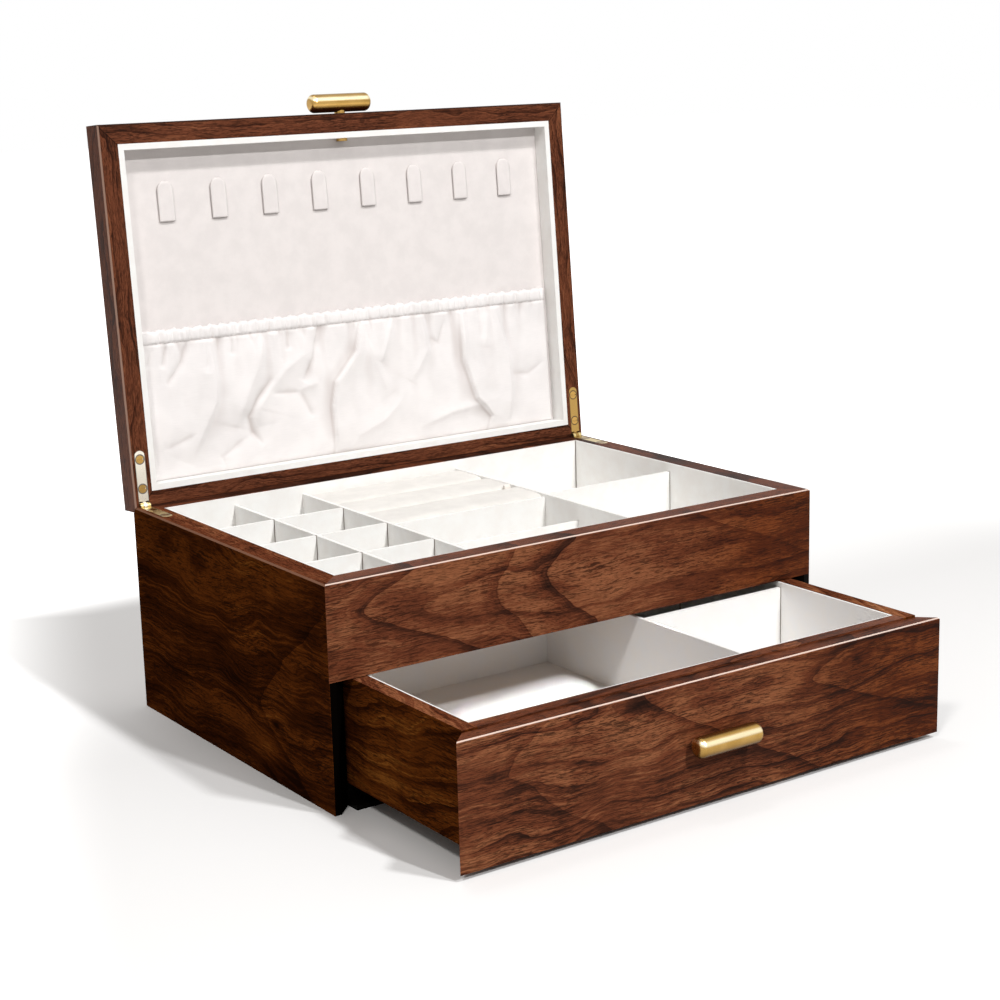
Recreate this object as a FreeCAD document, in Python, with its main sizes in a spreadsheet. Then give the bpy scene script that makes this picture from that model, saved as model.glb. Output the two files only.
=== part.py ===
"""Ring box: a mitred walnut case with a lidded tray above and a drawer below.

Millimetres. The origin is at the middle of the underside of the case, +X is to the
right, +Y to the back and +Z up. The lid is modelled open on its hinges' stop and the
drawer pulled out, as the box stands in use.
"""
import FreeCAD, Part
import Sketcher
import os
import re

Vector = FreeCAD.Vector
Rotation = FreeCAD.Rotation

# name, number, what it measures
DRIVING = [
    ("width", "300", "case and lid from side to side"),
    ("depth", "205", "case and lid from front to back"),
    ("case_height", "112", "underside to rim of the case"),
    ("wall", "12", "thickness of the case's boards"),
    ("apron_bottom", "65", "height of the drawer opening's upper edge"),
    ("edge_break", "0.8", "small chamfer on the outer edges"),
    ("side_land", "3.5", "flat end of a side board beside the drawer front"),
    ("housing", "3", "depth of grooves and rebates that hold boards"),
    ("base_thick", "8", "base board"),
    ("base_lip", "2.3", "base board's tongue under the drawer front"),
    ("runner_width", "8", "drawer runner"),
    ("runner_height", "2.5", "drawer runner above the base"),
    ("dust_thick", "3", "board between tray and drawer"),
    ("dust_rise", "2", "that board above the apron's lower edge"),
    ("lining", "1.3", "suede lined card in the tray and the drawer"),
    ("lining_drop", "0.3", "linings below the rims"),
    ("divider", "2", "thickness of every divider"),
    ("divider_drop", "5", "tray dividers below the rim"),
    ("left_cell", "40.4", "inside width of the two left columns"),
    ("roll_length", "100", "inside width of the ring roll column"),
    ("roll_wall_drop", "6.5", "wall in front of the ring rolls, below the rim"),
    ("roll_drop", "5.5", "crest of the ring rolls below the rim"),
    ("roll_height", "12.5", "ring roll above its riser"),
    ("roll_gap", "0.4", "slit between two ring rolls"),
    ("roll_shoulder", "8", "rounding of a ring roll's top edges"),
    ("roll_count", "3", "ring rolls"),
    ("ribbon_width", "4", "pull tab between two rolls"),
    ("ribbon_inset", "2", "pull tab from the right end of the rolls"),
    ("ribbon_rise", "1.5", "pull tab above the rolls' crest"),
    ("low_divider_front", "58", "low cross divider from the front lining"),
    ("low_divider_drop", "14.5", "low cross divider below the rim"),
    ("lid_thick", "15", "lid from its rim to its outer face"),
    ("lid_gap", "0.4", "gap between the rims when the lid is shut"),
    ("lid_rail", "10.5", "width of the lid's rails"),
    ("lid_panel", "3", "lid's outer panel"),
    ("lid_board", "1.5", "padded board inside the lid"),
    ("lid_liner", "3.2", "frame that lines the lid's rails"),
    ("lid_open", "94.5", "opening angle of the lid"),
    ("hinge_inset", "3", "hinge axis from the back face"),
    ("hinge_relief", "1.25", "angle left between lid and case at the stop, on each"),
    ("hinge_side", "5.25", "middle of a hinge from the outer side face"),
    ("leaf_width", "6", "hinge leaf"),
    ("leaf_thick", "1.6", "hinge leaf"),
    ("leaf_length", "30", "hinge axis to the leaf's round end"),
    ("leaf_start", "2.6", "hinge axis to the leaf's straight end"),
    ("barrel_radius", "2", "hinge barrel"),
    ("barrel_room", "2.6", "radius of the recess round the barrel"),
    ("knuckle_play", "0.2", "gap between two knuckles"),
    ("pin_radius", "0.9", "hinge pin"),
    ("pin_play", "0.1", "hinge pin in the lid's knuckle"),
    ("screw_near", "9.4", "first leaf screw from the hinge axis"),
    ("screw_far", "25.3", "second leaf screw from the hinge axis"),
    ("screw_head", "2.25", "radius of a leaf screw's head"),
    ("screw_shank", "1.1", "radius of a leaf screw's shank"),
    ("screw_cone", "1.15", "height of a leaf screw's countersunk head"),
    ("screw_length", "8", "leaf screw"),
    ("slot_width", "0.6", "slot of a screw"),
    ("slot_depth", "0.5", "slot of a screw"),
    ("tab_count", "8", "necklace tabs on the lid's board"),
    ("tab_width", "9", "necklace tab"),
    ("tab_length", "21.2", "necklace tab"),
    ("tab_thick", "1.5", "necklace tab"),
    ("tab_pitch", "31.6", "from one necklace tab to the next"),
    ("tab_inset", "17.5", "necklace tabs from the front liner"),
    ("pocket_height", "81", "elastic pocket, from hinge side to mouth"),
    ("pocket_depth", "6.2", "elastic pocket off the lid's board"),
    ("pocket_cloth", "1", "wall of the elastic pocket"),
    ("pocket_margin", "1.8", "elastic pocket from the side liners"),
    ("elastic_width", "5", "band in the pocket's hem"),
    ("elastic_thick", "0.5", "band in the pocket's hem"),
    ("elastic_inset", "1.2", "band from the mouth of the pocket"),
    ("bar_radius", "5.15", "bar pull"),
    ("bar_length", "38.5", "bar pull"),
    ("bar_rounding", "3.2", "rounded ends of a bar pull"),
    ("bar_standoff", "6", "bar's middle from the board that carries it"),
    ("collar_radius", "3", "collar between bar and board"),
    ("bolt_radius", "1.5", "screw through the board into the bar"),
    ("bolt_head", "3.1", "radius of that screw's head"),
    ("bolt_head_height", "1.6", "that screw's head"),
    ("lid_bar_height", "7.3", "lid's bar above the lid's rim"),
    ("drawer_out", "99", "drawer pulled out"),
    ("front_thick", "8.5", "drawer front"),
    ("front_gap", "0.8", "gap round the drawer front"),
    ("front_step", "1", "drawer front's top below the drawer box"),
    ("box_gap", "0.5", "drawer box below the apron"),
    ("drawer_play", "1", "drawer box beside the case's sides"),
    ("glide_gap", "0.3", "drawer box above its runners"),
    ("back_gap", "2.5", "drawer box before the case's back"),
    ("drawer_wall", "8", "drawer's side and back boards"),
    ("inner_front", "7", "board behind the drawer front"),
    ("drawer_ply", "3", "drawer bottom"),
    ("ply_rise", "3.2", "drawer bottom above the box's lower edge"),
    ("drawer_divider_side", "162.2", "long drawer divider from the left lining's board"),
    ("drawer_divider_drop", "2.9", "drawer dividers below the drawer box"),
    ("cross_divider_front", "97", "short drawer divider from the drawer front's face"),
]

# name, formula, what it places
PLACED = [
    ("inner_x", "width / 2 - wall", "inside faces of the side boards"),
    ("inner_y", "depth / 2 - wall", "inside face of the back board"),
    ("tray_x", "inner_x - lining", "inside faces of the side linings"),
    ("tray_y", "inner_y - lining", "inside faces of the end linings"),
    ("bevel", "wall - side_land", "bevel beside the drawer front"),
    ("shoulder_y", "front_thick + front_gap - depth / 2", "base board behind the drawer front"),
    ("dust_z", "apron_bottom + dust_rise", "underside of the dust board"),
    ("tray_z", "dust_z + dust_thick + lining", "tray floor"),
    ("tray_top", "case_height - lining_drop", "top of the tray lining"),
    ("divider_top", "case_height - divider_drop", "top of the tray dividers"),
    ("column_one", "left_cell - tray_x", "left column divider's left face"),
    ("column_two", "column_one + divider + left_cell", "middle column divider's left face"),
    ("column_three", "column_two + divider + roll_length", "right column divider's left face"),
    ("row_pitch", "(tray_y + divider / 2) / 2", "from one row divider to the next"),
    ("roll_top", "case_height - roll_drop", "crest of the ring rolls"),
    ("roll_base", "roll_top - roll_height", "top of the riser under the rolls"),
    ("roll_pitch", "(tray_y - divider / 2) / roll_count", "from one ring roll to the next"),
    ("hinge_y", "depth / 2 - hinge_inset", "hinge axis"),
    ("hinge_z", "case_height + lid_gap / 2", "hinge axis"),
    ("hinge_x", "width / 2 - hinge_side", "middle of a hinge"),
    ("relief_rise", "hinge_inset * tan(lid_open / 2 + hinge_relief)", "height of the relief bevel"),
    ("knuckle", "leaf_width / 3", "width of a knuckle with its play"),
    ("leaf_round", "leaf_length - leaf_width / 2", "middle of the leaf's round end"),
    ("rim", "lid_gap / 2", "lid's rim above the hinge axis"),
    ("lid_face", "rim + lid_thick", "lid's outer face"),
    ("board_face", "lid_face - lid_panel - lid_board", "face of the padded board"),
    ("lid_front", "hinge_inset - depth", "lid's front face before the hinge axis"),
    ("rail_x", "width / 2 - lid_rail", "inside faces of the lid's side rails"),
    ("rail_front", "lid_front + lid_rail", "inside face of the lid's front rail"),
    ("rail_back", "hinge_inset - lid_rail", "inside face of the lid's back rail"),
    ("liner_x", "rail_x - lid_liner", "inside faces of the lid's side liners"),
    ("liner_front", "rail_front + lid_liner", "inside face of the lid's front liner"),
    ("liner_back", "rail_back - lid_liner", "inside face of the lid's back liner"),
    ("tab_top", "liner_front + tab_inset", "round ends of the necklace tabs"),
    ("tab_round", "tab_top + tab_width / 2", "middle of those round ends"),
    ("tab_z", "board_face - tab_thick", "underside of the necklace tabs"),
    ("pocket_x", "liner_x - pocket_margin", "ends of the elastic pocket"),
    ("pocket_mouth", "liner_back - pocket_height", "mouth of the elastic pocket"),
    ("pocket_z", "board_face - pocket_depth", "outside of the elastic pocket"),
    ("elastic_z", "pocket_z + (pocket_cloth - elastic_thick) / 2", "band in the hem"),
    ("elastic_mouth", "pocket_mouth + elastic_inset", "band's edge beside the mouth"),
    ("box_x", "inner_x - drawer_play", "outside of the drawer box"),
    ("box_inner_x", "box_x - drawer_wall", "inside of the drawer box"),
    ("box_low", "base_thick + runner_height + glide_gap", "drawer box's lower edge"),
    ("box_top", "apron_bottom - box_gap", "drawer box's upper edge"),
    ("box_end", "depth - wall - back_gap", "drawer box behind the drawer front's face"),
    ("box_start", "front_thick + inner_front", "inside of the drawer's inner front"),
    ("box_back", "box_end - drawer_wall", "inside of the drawer's back"),
    ("front_low", "base_lip + front_gap", "drawer front's lower edge"),
    ("front_top", "box_top - front_step", "drawer front's upper edge"),
    ("front_x", "width / 2 - side_land - front_gap", "ends of the drawer front's face"),
    ("front_middle", "(front_low + front_top) / 2", "height of the drawer's pull"),
    ("ply_z", "box_low + ply_rise", "underside of the drawer bottom"),
    ("drawer_z", "ply_z + drawer_ply + lining", "drawer's lined floor"),
    ("drawer_divider_x", "drawer_divider_side - box_inner_x", "long divider's left face"),
    ("drawer_divider_top", "box_top - drawer_divider_drop", "top of the drawer dividers"),
]

ADD = "Additive"
CUT = "Subtractive"
SIDES = {"left": -1, "right": 1}
TURNED = {
    "x": Rotation(Vector(0, 1, 0), 90),
    "y": Rotation(Vector(-1, 0, 0), 90),
    "z": Rotation(),
}

doc = FreeCAD.newDocument("RingBox")
pieces = []


def fill_sheet(name, rows, text):
    """One spreadsheet: a note, a cell and the cell's name on each row."""
    sheet = doc.addObject("Spreadsheet::Sheet", name)
    for row, (alias, content, note) in enumerate(rows, 1):
        sheet.set("A%d" % row, note)
        sheet.set("B%d" % row, text(content))
        sheet.setAlias("B%d" % row, alias)
    return sheet


def in_sheets(formula, sheets):
    """The formula with each size's name led by the name of its sheet."""
    def lead(match):
        for sheet, names in sheets.items():
            if match.group() in names:
                return sheet + "." + match.group()
        return match.group()
    return re.sub(r"[a-z][a-z_]*", lead, str(formula))


driving_names = {"Dims": [row[0] for row in DRIVING]}
all_names = {"Dims": driving_names["Dims"], "Places": [row[0] for row in PLACED]}
dims = fill_sheet("Dims", DRIVING, str)
fill_sheet("Places", PLACED, lambda formula: "=" + in_sheets(formula, driving_names))
doc.recompute()


def bind(thing, name, formula):
    """Tie one property to a formula of the sheets' sizes."""
    thing.setExpression(name, in_sheets(formula, all_names))


def size(formula):
    """The present number of a formula of the sheets' sizes."""
    return float(dims.evalExpression(in_sheets(formula, all_names)))


# ---------------------------------------------------------------- frames and features

def piece(name, frame=None):
    """A new sub-part, drawn in the case's frame or in that of a moving group."""
    body = doc.addObject("PartDesign::Body", name)
    body.Label = name
    if frame:
        frame(body)
    pieces.append(body)
    return body


def in_lid(body):
    """Drawn shut, with the hinge axis as origin, and swung open about it."""
    body.Placement = FreeCAD.Placement(Vector(), Rotation(Vector(-1, 0, 0), size("lid_open")))
    bind(body, "Placement.Base.y", "hinge_y")
    bind(body, "Placement.Base.z", "hinge_z")
    bind(body, "Placement.Rotation.Angle", "lid_open")


def in_drawer(body):
    """Drawn with y counted back from the drawer front's face, and pulled out."""
    bind(body, "Placement.Base.y", "-(depth / 2 + drawer_out)")


def box(body, kind, x, y, z):
    """A box between two planes on each axis."""
    block = body.newObject("PartDesign::%sBox" % kind, "block")
    for side, axis, (low, high) in zip(("Length", "Width", "Height"), "xyz", (x, y, z)):
        bind(block, side, "(%s) - (%s)" % (high, low))
        bind(block, "Placement.Base." + axis, low)


def round_bar(body, kind, axis, start, length, radius):
    """A cylinder that leaves its start along one axis."""
    rod = body.newObject("PartDesign::%sCylinder" % kind, "rod")
    rod.Placement = FreeCAD.Placement(Vector(), TURNED[axis])
    bind(rod, "Radius", radius)
    bind(rod, "Height", length)
    for side, formula in zip("xyz", start):
        bind(rod, "Placement.Base." + side, formula)


def cone(body, kind, start, height, low_radius, high_radius):
    """A cone that stands on its start along z."""
    shape = body.newObject("PartDesign::%sCone" % kind, "cone")
    bind(shape, "Radius1", low_radius)
    bind(shape, "Radius2", high_radius)
    bind(shape, "Height", height)
    for side, formula in zip("xyz", start):
        bind(shape, "Placement.Base." + side, formula)


def wedge(body, kind, y, front, back):
    """A block that runs from one rectangle (x, z) at its front to another at its back."""
    shape = body.newObject("PartDesign::%sWedge" % kind, "wedge")
    limits = {"Ymin": y[0], "Ymax": y[1]}
    for mark, (x, z) in (("", front), ("2", back)):
        limits["X%smin" % mark] = x[0]
        limits["X%smax" % mark] = x[1]
        limits["Z%smin" % mark] = z[0]
        limits["Z%smax" % mark] = z[1]
    for name, formula in limits.items():
        bind(shape, name, formula)


def plank(body, corners, z):
    """A board with this outline, seen from above, between two heights."""
    plane = [p for p in body.Origin.OriginFeatures if p.Role == "XY_Plane"][0]
    sketch = body.newObject("Sketcher::SketchObject", "outline")
    sketch.AttachmentSupport = [(plane, "")]
    sketch.MapMode = "FlatFace"
    bind(sketch, "AttachmentOffset.Base.z", z[0])
    spots = [Vector(size(x), size(y), 0) for x, y in corners]
    for here, there in zip(spots, spots[1:] + spots[:1]):
        sketch.addGeometry(Part.LineSegment(here, there), False)
    for index, (x, y) in enumerate(corners):
        sketch.addConstraint(joint_of(index, len(corners)))
        for kind, formula in (("DistanceX", x), ("DistanceY", y)):
            number = sketch.addConstraint(corner_place(kind, index, size(formula)))
            bind(sketch, "Constraints[%d]" % number, formula)
    pad = body.newObject("PartDesign::Pad", "board")
    pad.Profile = sketch
    bind(pad, "Length", "(%s) - (%s)" % (z[1], z[0]))
    sketch.Visibility = False


def joint_of(index, count):
    """Ties an outline's edge to the next one."""
    return Sketcher.Constraint("Coincident", index, 2, (index + 1) % count, 1)


def corner_place(kind, index, distance):
    """Ties an outline's corner to the sketch's origin."""
    return Sketcher.Constraint(kind, -1, 1, index, 1, distance)


def near(number, formula):
    """True where a coordinate lies on a plane."""
    return abs(number - size(formula)) < 1e-4


def edges_of(feature, wanted):
    """Names of a feature's edges whose middle passes the test."""
    doc.recompute()
    names = []
    for number, edge in enumerate(feature.Shape.Edges, 1):
        middle = edge.CenterOfMass
        if wanted(middle.x, middle.y, middle.z):
            names.append("Edge%d" % number)
    return names


def break_edges(body, wanted):
    """A small chamfer along the chosen edges."""
    last = body.Tip
    chamfer = body.newObject("PartDesign::Chamfer", "edge_break")
    chamfer.Base = (last, edges_of(last, wanted))
    bind(chamfer, "Size", "edge_break")


def round_edges(body, wanted, radius):
    """A rounding along the chosen edges."""
    last = body.Tip
    fillet = body.newObject("PartDesign::Fillet", "rounding")
    fillet.Base = (last, edges_of(last, wanted))
    bind(fillet, "Radius", radius)


def break_long_edge(body, y, z):
    """Break the edge that runs along x at these planes."""
    break_edges(body, lambda mx, my, mz: near(my, y) and near(mz, z))


# ---------------------------------------------------------------- shared cuts

def hinge_recess(body, lid):
    """Beds for both hinges: a round one for the barrel, a flat one for the leaf."""
    axis_y, axis_z = ("0", "0") if lid else ("hinge_y", "hinge_z")
    low, high = ("rim", "rim + leaf_thick") if lid else ("case_height - leaf_thick", "case_height")
    for side in SIDES.values():
        middle = "%d * hinge_x" % side
        left = "%s - leaf_width / 2" % middle
        right = "%s + leaf_width / 2" % middle
        start = ("%s - knuckle_play" % left, axis_y, axis_z)
        round_bar(body, CUT, "x", start, "leaf_width + 2 * knuckle_play", "barrel_room")
        box(body, CUT, (left, right), ("%s - leaf_round" % axis_y, axis_y), (low, high))
        start = (middle, "%s - leaf_round" % axis_y, low)
        round_bar(body, CUT, "z", start, "leaf_thick", "leaf_width / 2")


def screw_bores(body, lid):
    """Pilot holes for the leaf screws."""
    axis_y = "0" if lid else "hinge_y"
    low = "rim" if lid else "case_height - screw_length"
    for side in SIDES.values():
        for along in ("screw_near", "screw_far"):
            start = ("%d * hinge_x" % side, "%s - %s" % (axis_y, along), low)
            round_bar(body, CUT, "z", start, "screw_length", "screw_shank")


def back_relief(body, lid):
    """The bevel from the hinge axis out to the back, where lid and case would meet."""
    if lid:
        y = ("0", "hinge_inset")
        low, high = ("rim - wall", "rim"), ("rim - wall", "rim + relief_rise")
    else:
        y = ("hinge_y", "depth / 2")
        low, high = ("case_height", "case_height + wall"), ("case_height - relief_rise", "case_height + wall")
    across = ("-width", "width")
    wedge(body, CUT, y, (across, low), (across, high))


# ---------------------------------------------------------------- case

def side_panel(name, side):
    """Mitred at the back and to the apron, bevelled beside the drawer front."""
    def x(formula):
        return "%d * (%s)" % (side, formula)
    body = piece(name)
    outer, inner = x("width / 2"), x("inner_x")
    shoulder = "bevel - depth / 2"
    corners = [(outer, "-depth / 2"), (inner, "-inner_y"), (inner, "inner_y"), (outer, "depth / 2")]
    plank(body, corners, ("0", "case_height"))
    corners = [(outer, "-depth / 2"), (x("width / 2 - side_land"), "-depth / 2"), (inner, shoulder),
               (inner, "-inner_y")]
    plank(body, corners, ("0", "apron_bottom"))
    groove = sorted([x("inner_x - wall"), x("inner_x + housing")], key=size)
    box(body, CUT, groove, ("-inner_y - housing", "inner_y + housing"), ("dust_z", "dust_z + dust_thick"))
    box(body, CUT, groove, ("shoulder_y", "inner_y + housing"), ("-base_thick", "base_thick"))
    back_relief(body, False)
    break_edges(body, lambda mx, my, mz: near(mx, outer) and near(mz, "case_height"))
    hinge_recess(body, False)
    screw_bores(body, False)


def back_panel():
    """Mitred between the sides, grooved for the dust board, rebated for the base."""
    body = piece("back_panel")
    z = ("0", "case_height")
    wedge(body, ADD, ("inner_y", "depth / 2"), (("-inner_x", "inner_x"), z), (("-width / 2", "width / 2"), z))
    across = ("-inner_x - housing", "inner_x + housing")
    box(body, CUT, across, ("inner_y - wall", "inner_y + housing"), ("dust_z", "dust_z + dust_thick"))
    box(body, CUT, across, ("inner_y - wall", "inner_y + housing"), ("-base_thick", "base_thick"))
    back_relief(body, False)
    hinge_recess(body, False)


def front_apron():
    """The board above the drawer, mitred between the sides."""
    body = piece("front_apron")
    z = ("apron_bottom", "case_height")
    wedge(body, ADD, ("-depth / 2", "-inner_y"), (("-width / 2", "width / 2"), z), (("-inner_x", "inner_x"), z))
    across = ("-inner_x - housing", "inner_x + housing")
    box(body, CUT, across, ("-inner_y - housing", "wall - inner_y"), ("dust_z", "dust_z + dust_thick"))
    break_long_edge(body, "-depth / 2", "case_height")


def base_panel():
    """Set in the rebates, with a thin tongue that runs on under the drawer front."""
    body = piece("base_panel")
    across = ("-inner_x - housing", "inner_x + housing")
    box(body, ADD, across, ("shoulder_y", "inner_y + housing"), ("0", "base_thick"))
    box(body, ADD, ("-inner_x", "inner_x"), ("-depth / 2", "shoulder_y"), ("0", "base_lip"))


def dust_panel():
    """Carries the tray and keeps the drawer from tipping."""
    body = piece("dust_panel")
    across = ("-inner_x - housing", "inner_x + housing")
    box(body, ADD, across, ("-inner_y - housing", "inner_y + housing"), ("dust_z", "dust_z + dust_thick"))


def runner(name, side):
    """A strip on the base that one side of the drawer glides on."""
    body = piece(name)
    x = sorted(["%d * box_x" % side, "%d * (box_x - runner_width)" % side], key=size)
    z = ("base_thick", "base_thick + runner_height")
    box(body, ADD, x, ("shoulder_y", "inner_y"), z)


# ---------------------------------------------------------------- tray

def tray_lining():
    """Lined card round the tray's walls and on its floor."""
    body = piece("tray_lining")
    z = ("tray_z - lining", "tray_top")
    box(body, ADD, ("-inner_x", "inner_x"), ("-inner_y", "inner_y"), z)
    box(body, CUT, ("-tray_x", "tray_x"), ("-tray_y", "tray_y"), z)
    body = piece("tray_floor_lining")
    box(body, ADD, ("-tray_x", "tray_x"), ("-tray_y", "tray_y"), ("tray_z - lining", "tray_z"))


def row_y(row):
    """Front face of a row divider, counted from the front."""
    return "%d * row_pitch - divider / 2" % (row - 1)


def column_dividers():
    """Three dividers from front to back; the left one is halved over the rows."""
    z = ("tray_z", "divider_top")
    half = "(tray_z + divider_top) / 2"
    for name, left in (("left", "column_one"), ("middle", "column_two"), ("right", "column_three")):
        body = piece(name + "_column_divider")
        x = (left, "%s + divider" % left)
        box(body, ADD, x, ("-tray_y", "tray_y"), z)
        if name == "left":
            for row in range(3):
                y = (row_y(row), "%s + divider" % row_y(row))
                box(body, CUT, x, y, (half, "case_height"))


def row_dividers():
    """Three dividers across the two left columns, halved over the left divider."""
    half = "(tray_z + divider_top) / 2"
    for row, name in enumerate(("front", "middle", "back")):
        body = piece(name + "_row_divider")
        y = (row_y(row), "%s + divider" % row_y(row))
        box(body, ADD, ("-tray_x", "column_two"), y, ("tray_z", "divider_top"))
        box(body, CUT, ("column_one", "column_one + divider"), y, ("dust_z", half))


def cross_dividers():
    """One halfway down the right column, and a low one before the ring rolls."""
    body = piece("right_cross_divider")
    y = ("-divider / 2", "divider / 2")
    box(body, ADD, ("column_three + divider", "tray_x"), y, ("tray_z", "divider_top"))
    body = piece("low_cross_divider")
    x = ("column_two + divider", "column_three")
    y = ("low_divider_front - tray_y", "low_divider_front - tray_y + divider")
    box(body, ADD, x, y, ("tray_z", "case_height - low_divider_drop"))


def ring_rolls():
    """A wall, a riser, soft rolls in a row and a ribbon between the first two."""
    x = ("column_two + divider", "column_three")
    body = piece("ring_roll_wall")
    y = ("-divider / 2", "divider / 2")
    box(body, ADD, x, y, ("tray_z", "case_height - roll_wall_drop"))
    body = piece("ring_roll_riser")
    box(body, ADD, x, ("divider / 2", "tray_y"), ("tray_z", "roll_base"))
    for number in range(int(size("roll_count"))):
        body = piece("ring_roll_%d" % (number + 1))
        low = "divider / 2 + %d * roll_pitch + roll_gap / 2" % number
        high = "divider / 2 + %d * roll_pitch - roll_gap / 2" % (number + 1)
        box(body, ADD, x, (low, high), ("roll_base", "roll_top"))
        crest = lambda mx, my, mz: near(mz, "roll_top") and (near(my, low) or near(my, high))
        round_edges(body, crest, "roll_shoulder")
    body = piece("ring_roll_ribbon")
    x = ("column_three - ribbon_inset - ribbon_width", "column_three - ribbon_inset")
    slit = "divider / 2 + roll_pitch"
    y = ("%s - roll_gap / 2" % slit, "%s + roll_gap / 2" % slit)
    box(body, ADD, x, y, ("roll_base", "roll_top + ribbon_rise"))


# ---------------------------------------------------------------- hinges

def leaf(name, side, lid):
    """A side-rail hinge's leaf with its knuckles: two on the case, one on the lid."""
    body = piece(name, in_lid if lid else None)
    axis_y, axis_z = ("0", "0") if lid else ("hinge_y", "hinge_z")
    low, high = ("rim", "rim + leaf_thick") if lid else ("case_height - leaf_thick", "case_height")
    middle = "%d * hinge_x" % side
    across = ("%s - leaf_width / 2" % middle, "%s + leaf_width / 2" % middle)
    box(body, ADD, across, ("%s - leaf_round" % axis_y, "%s - leaf_start" % axis_y), (low, high))
    start = (middle, "%s - leaf_round" % axis_y, low)
    round_bar(body, ADD, "z", start, "leaf_thick", "leaf_width / 2")
    if lid:
        knuckles = [("-knuckle / 2 + knuckle_play / 2", "knuckle - knuckle_play")]
    else:
        knuckles = [("-leaf_width / 2", "knuckle - knuckle_play / 2"),
                    ("knuckle / 2 + knuckle_play / 2", "knuckle - knuckle_play / 2")]
    for offset, length in knuckles:
        edge = "%s + %s" % (middle, offset)
        round_bar(body, ADD, "x", (edge, axis_y, axis_z), length, "barrel_radius")
        y = ("%s - leaf_start" % axis_y, axis_y)
        box(body, ADD, (edge, "%s + %s" % (edge, length)), y, (low, high))
    bore = "pin_radius + pin_play" if lid else "pin_radius"
    start = ("%s - leaf_width" % middle, axis_y, axis_z)
    round_bar(body, CUT, "x", start, "2 * leaf_width", bore)
    for along in ("screw_near", "screw_far"):
        leaf_hole(body, middle, "%s - %s" % (axis_y, along), lid)


def leaf_hole(body, x, y, lid):
    """A countersunk hole in a leaf; its wide end is the leaf's outer face."""
    if lid:
        round_bar(body, CUT, "z", (x, y, "rim"), "leaf_thick", "screw_shank")
        cone(body, CUT, (x, y, "rim"), "screw_cone", "screw_head", "screw_shank")
    else:
        low = "case_height - leaf_thick"
        round_bar(body, CUT, "z", (x, y, low), "leaf_thick", "screw_shank")
        cone(body, CUT, (x, y, "case_height - screw_cone"), "screw_cone", "screw_shank", "screw_head")


def leaf_screws(name, lid):
    """Slotted countersunk screws, two in each leaf."""
    body = piece(name, in_lid if lid else None)
    axis_y = "0" if lid else "hinge_y"
    spots = []
    for side in SIDES.values():
        for along in ("screw_near", "screw_far"):
            spots.append(("%d * hinge_x" % side, "%s - %s" % (axis_y, along)))
    for x, y in spots:
        if lid:
            cone(body, ADD, (x, y, "rim"), "screw_cone", "screw_head", "screw_shank")
            round_bar(body, ADD, "z", (x, y, "rim + screw_cone"), "screw_length - screw_cone", "screw_shank")
        else:
            low = "case_height - screw_length"
            round_bar(body, ADD, "z", (x, y, low), "screw_length - screw_cone", "screw_shank")
            start = (x, y, "case_height - screw_cone")
            cone(body, ADD, start, "screw_cone", "screw_shank", "screw_head")
    z = ("rim", "rim + slot_depth") if lid else ("case_height - slot_depth", "case_height")
    for x, y in spots:
        across = ("%s - screw_head" % x, "%s + screw_head" % x)
        along = ("%s - slot_width / 2" % y, "%s + slot_width / 2" % y)
        box(body, CUT, across, along, z)


def hinge_pins():
    """One pin through the three knuckles of each hinge."""
    body = piece("hinge_pins")
    for side in SIDES.values():
        start = ("%d * hinge_x - leaf_width / 2" % side, "hinge_y", "hinge_z")
        round_bar(body, ADD, "x", start, "leaf_width", "pin_radius")


# ---------------------------------------------------------------- pulls

def pull(prefix, frame, face, inner, z):
    """A brass bar on a collar, held by a screw from behind the board."""
    middle = "%s - bar_standoff" % face
    bar = ("-bar_length / 2", middle, z)
    body = piece(prefix + "_pull_bar", frame)
    round_bar(body, ADD, "x", bar, "bar_length", "bar_radius")
    round_edges(body, lambda mx, my, mz: near(abs(mx), "bar_length / 2"), "bar_rounding")
    round_bar(body, CUT, "y", ("0", middle, z), "bar_radius", "bolt_radius")
    body = piece(prefix + "_pull_collar", frame)
    round_bar(body, ADD, "y", ("0", middle, z), "bar_standoff", "collar_radius")
    round_bar(body, CUT, "x", bar, "bar_length", "bar_radius")
    round_bar(body, CUT, "y", ("0", middle, z), "bar_standoff", "bolt_radius")
    body = piece(prefix + "_pull_screw", frame)
    round_bar(body, ADD, "y", ("0", middle, z), "%s - (%s)" % (inner, middle), "bolt_radius")
    round_bar(body, ADD, "y", ("0", inner, z), "bolt_head_height", "bolt_head")
    back = "%s + bolt_head_height" % inner
    along = ("-bolt_head", "bolt_head")
    box(body, CUT, along, ("%s - slot_depth" % back, back),
        ("%s - slot_width / 2" % z, "%s + slot_width / 2" % z))


# ---------------------------------------------------------------- lid

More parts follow.
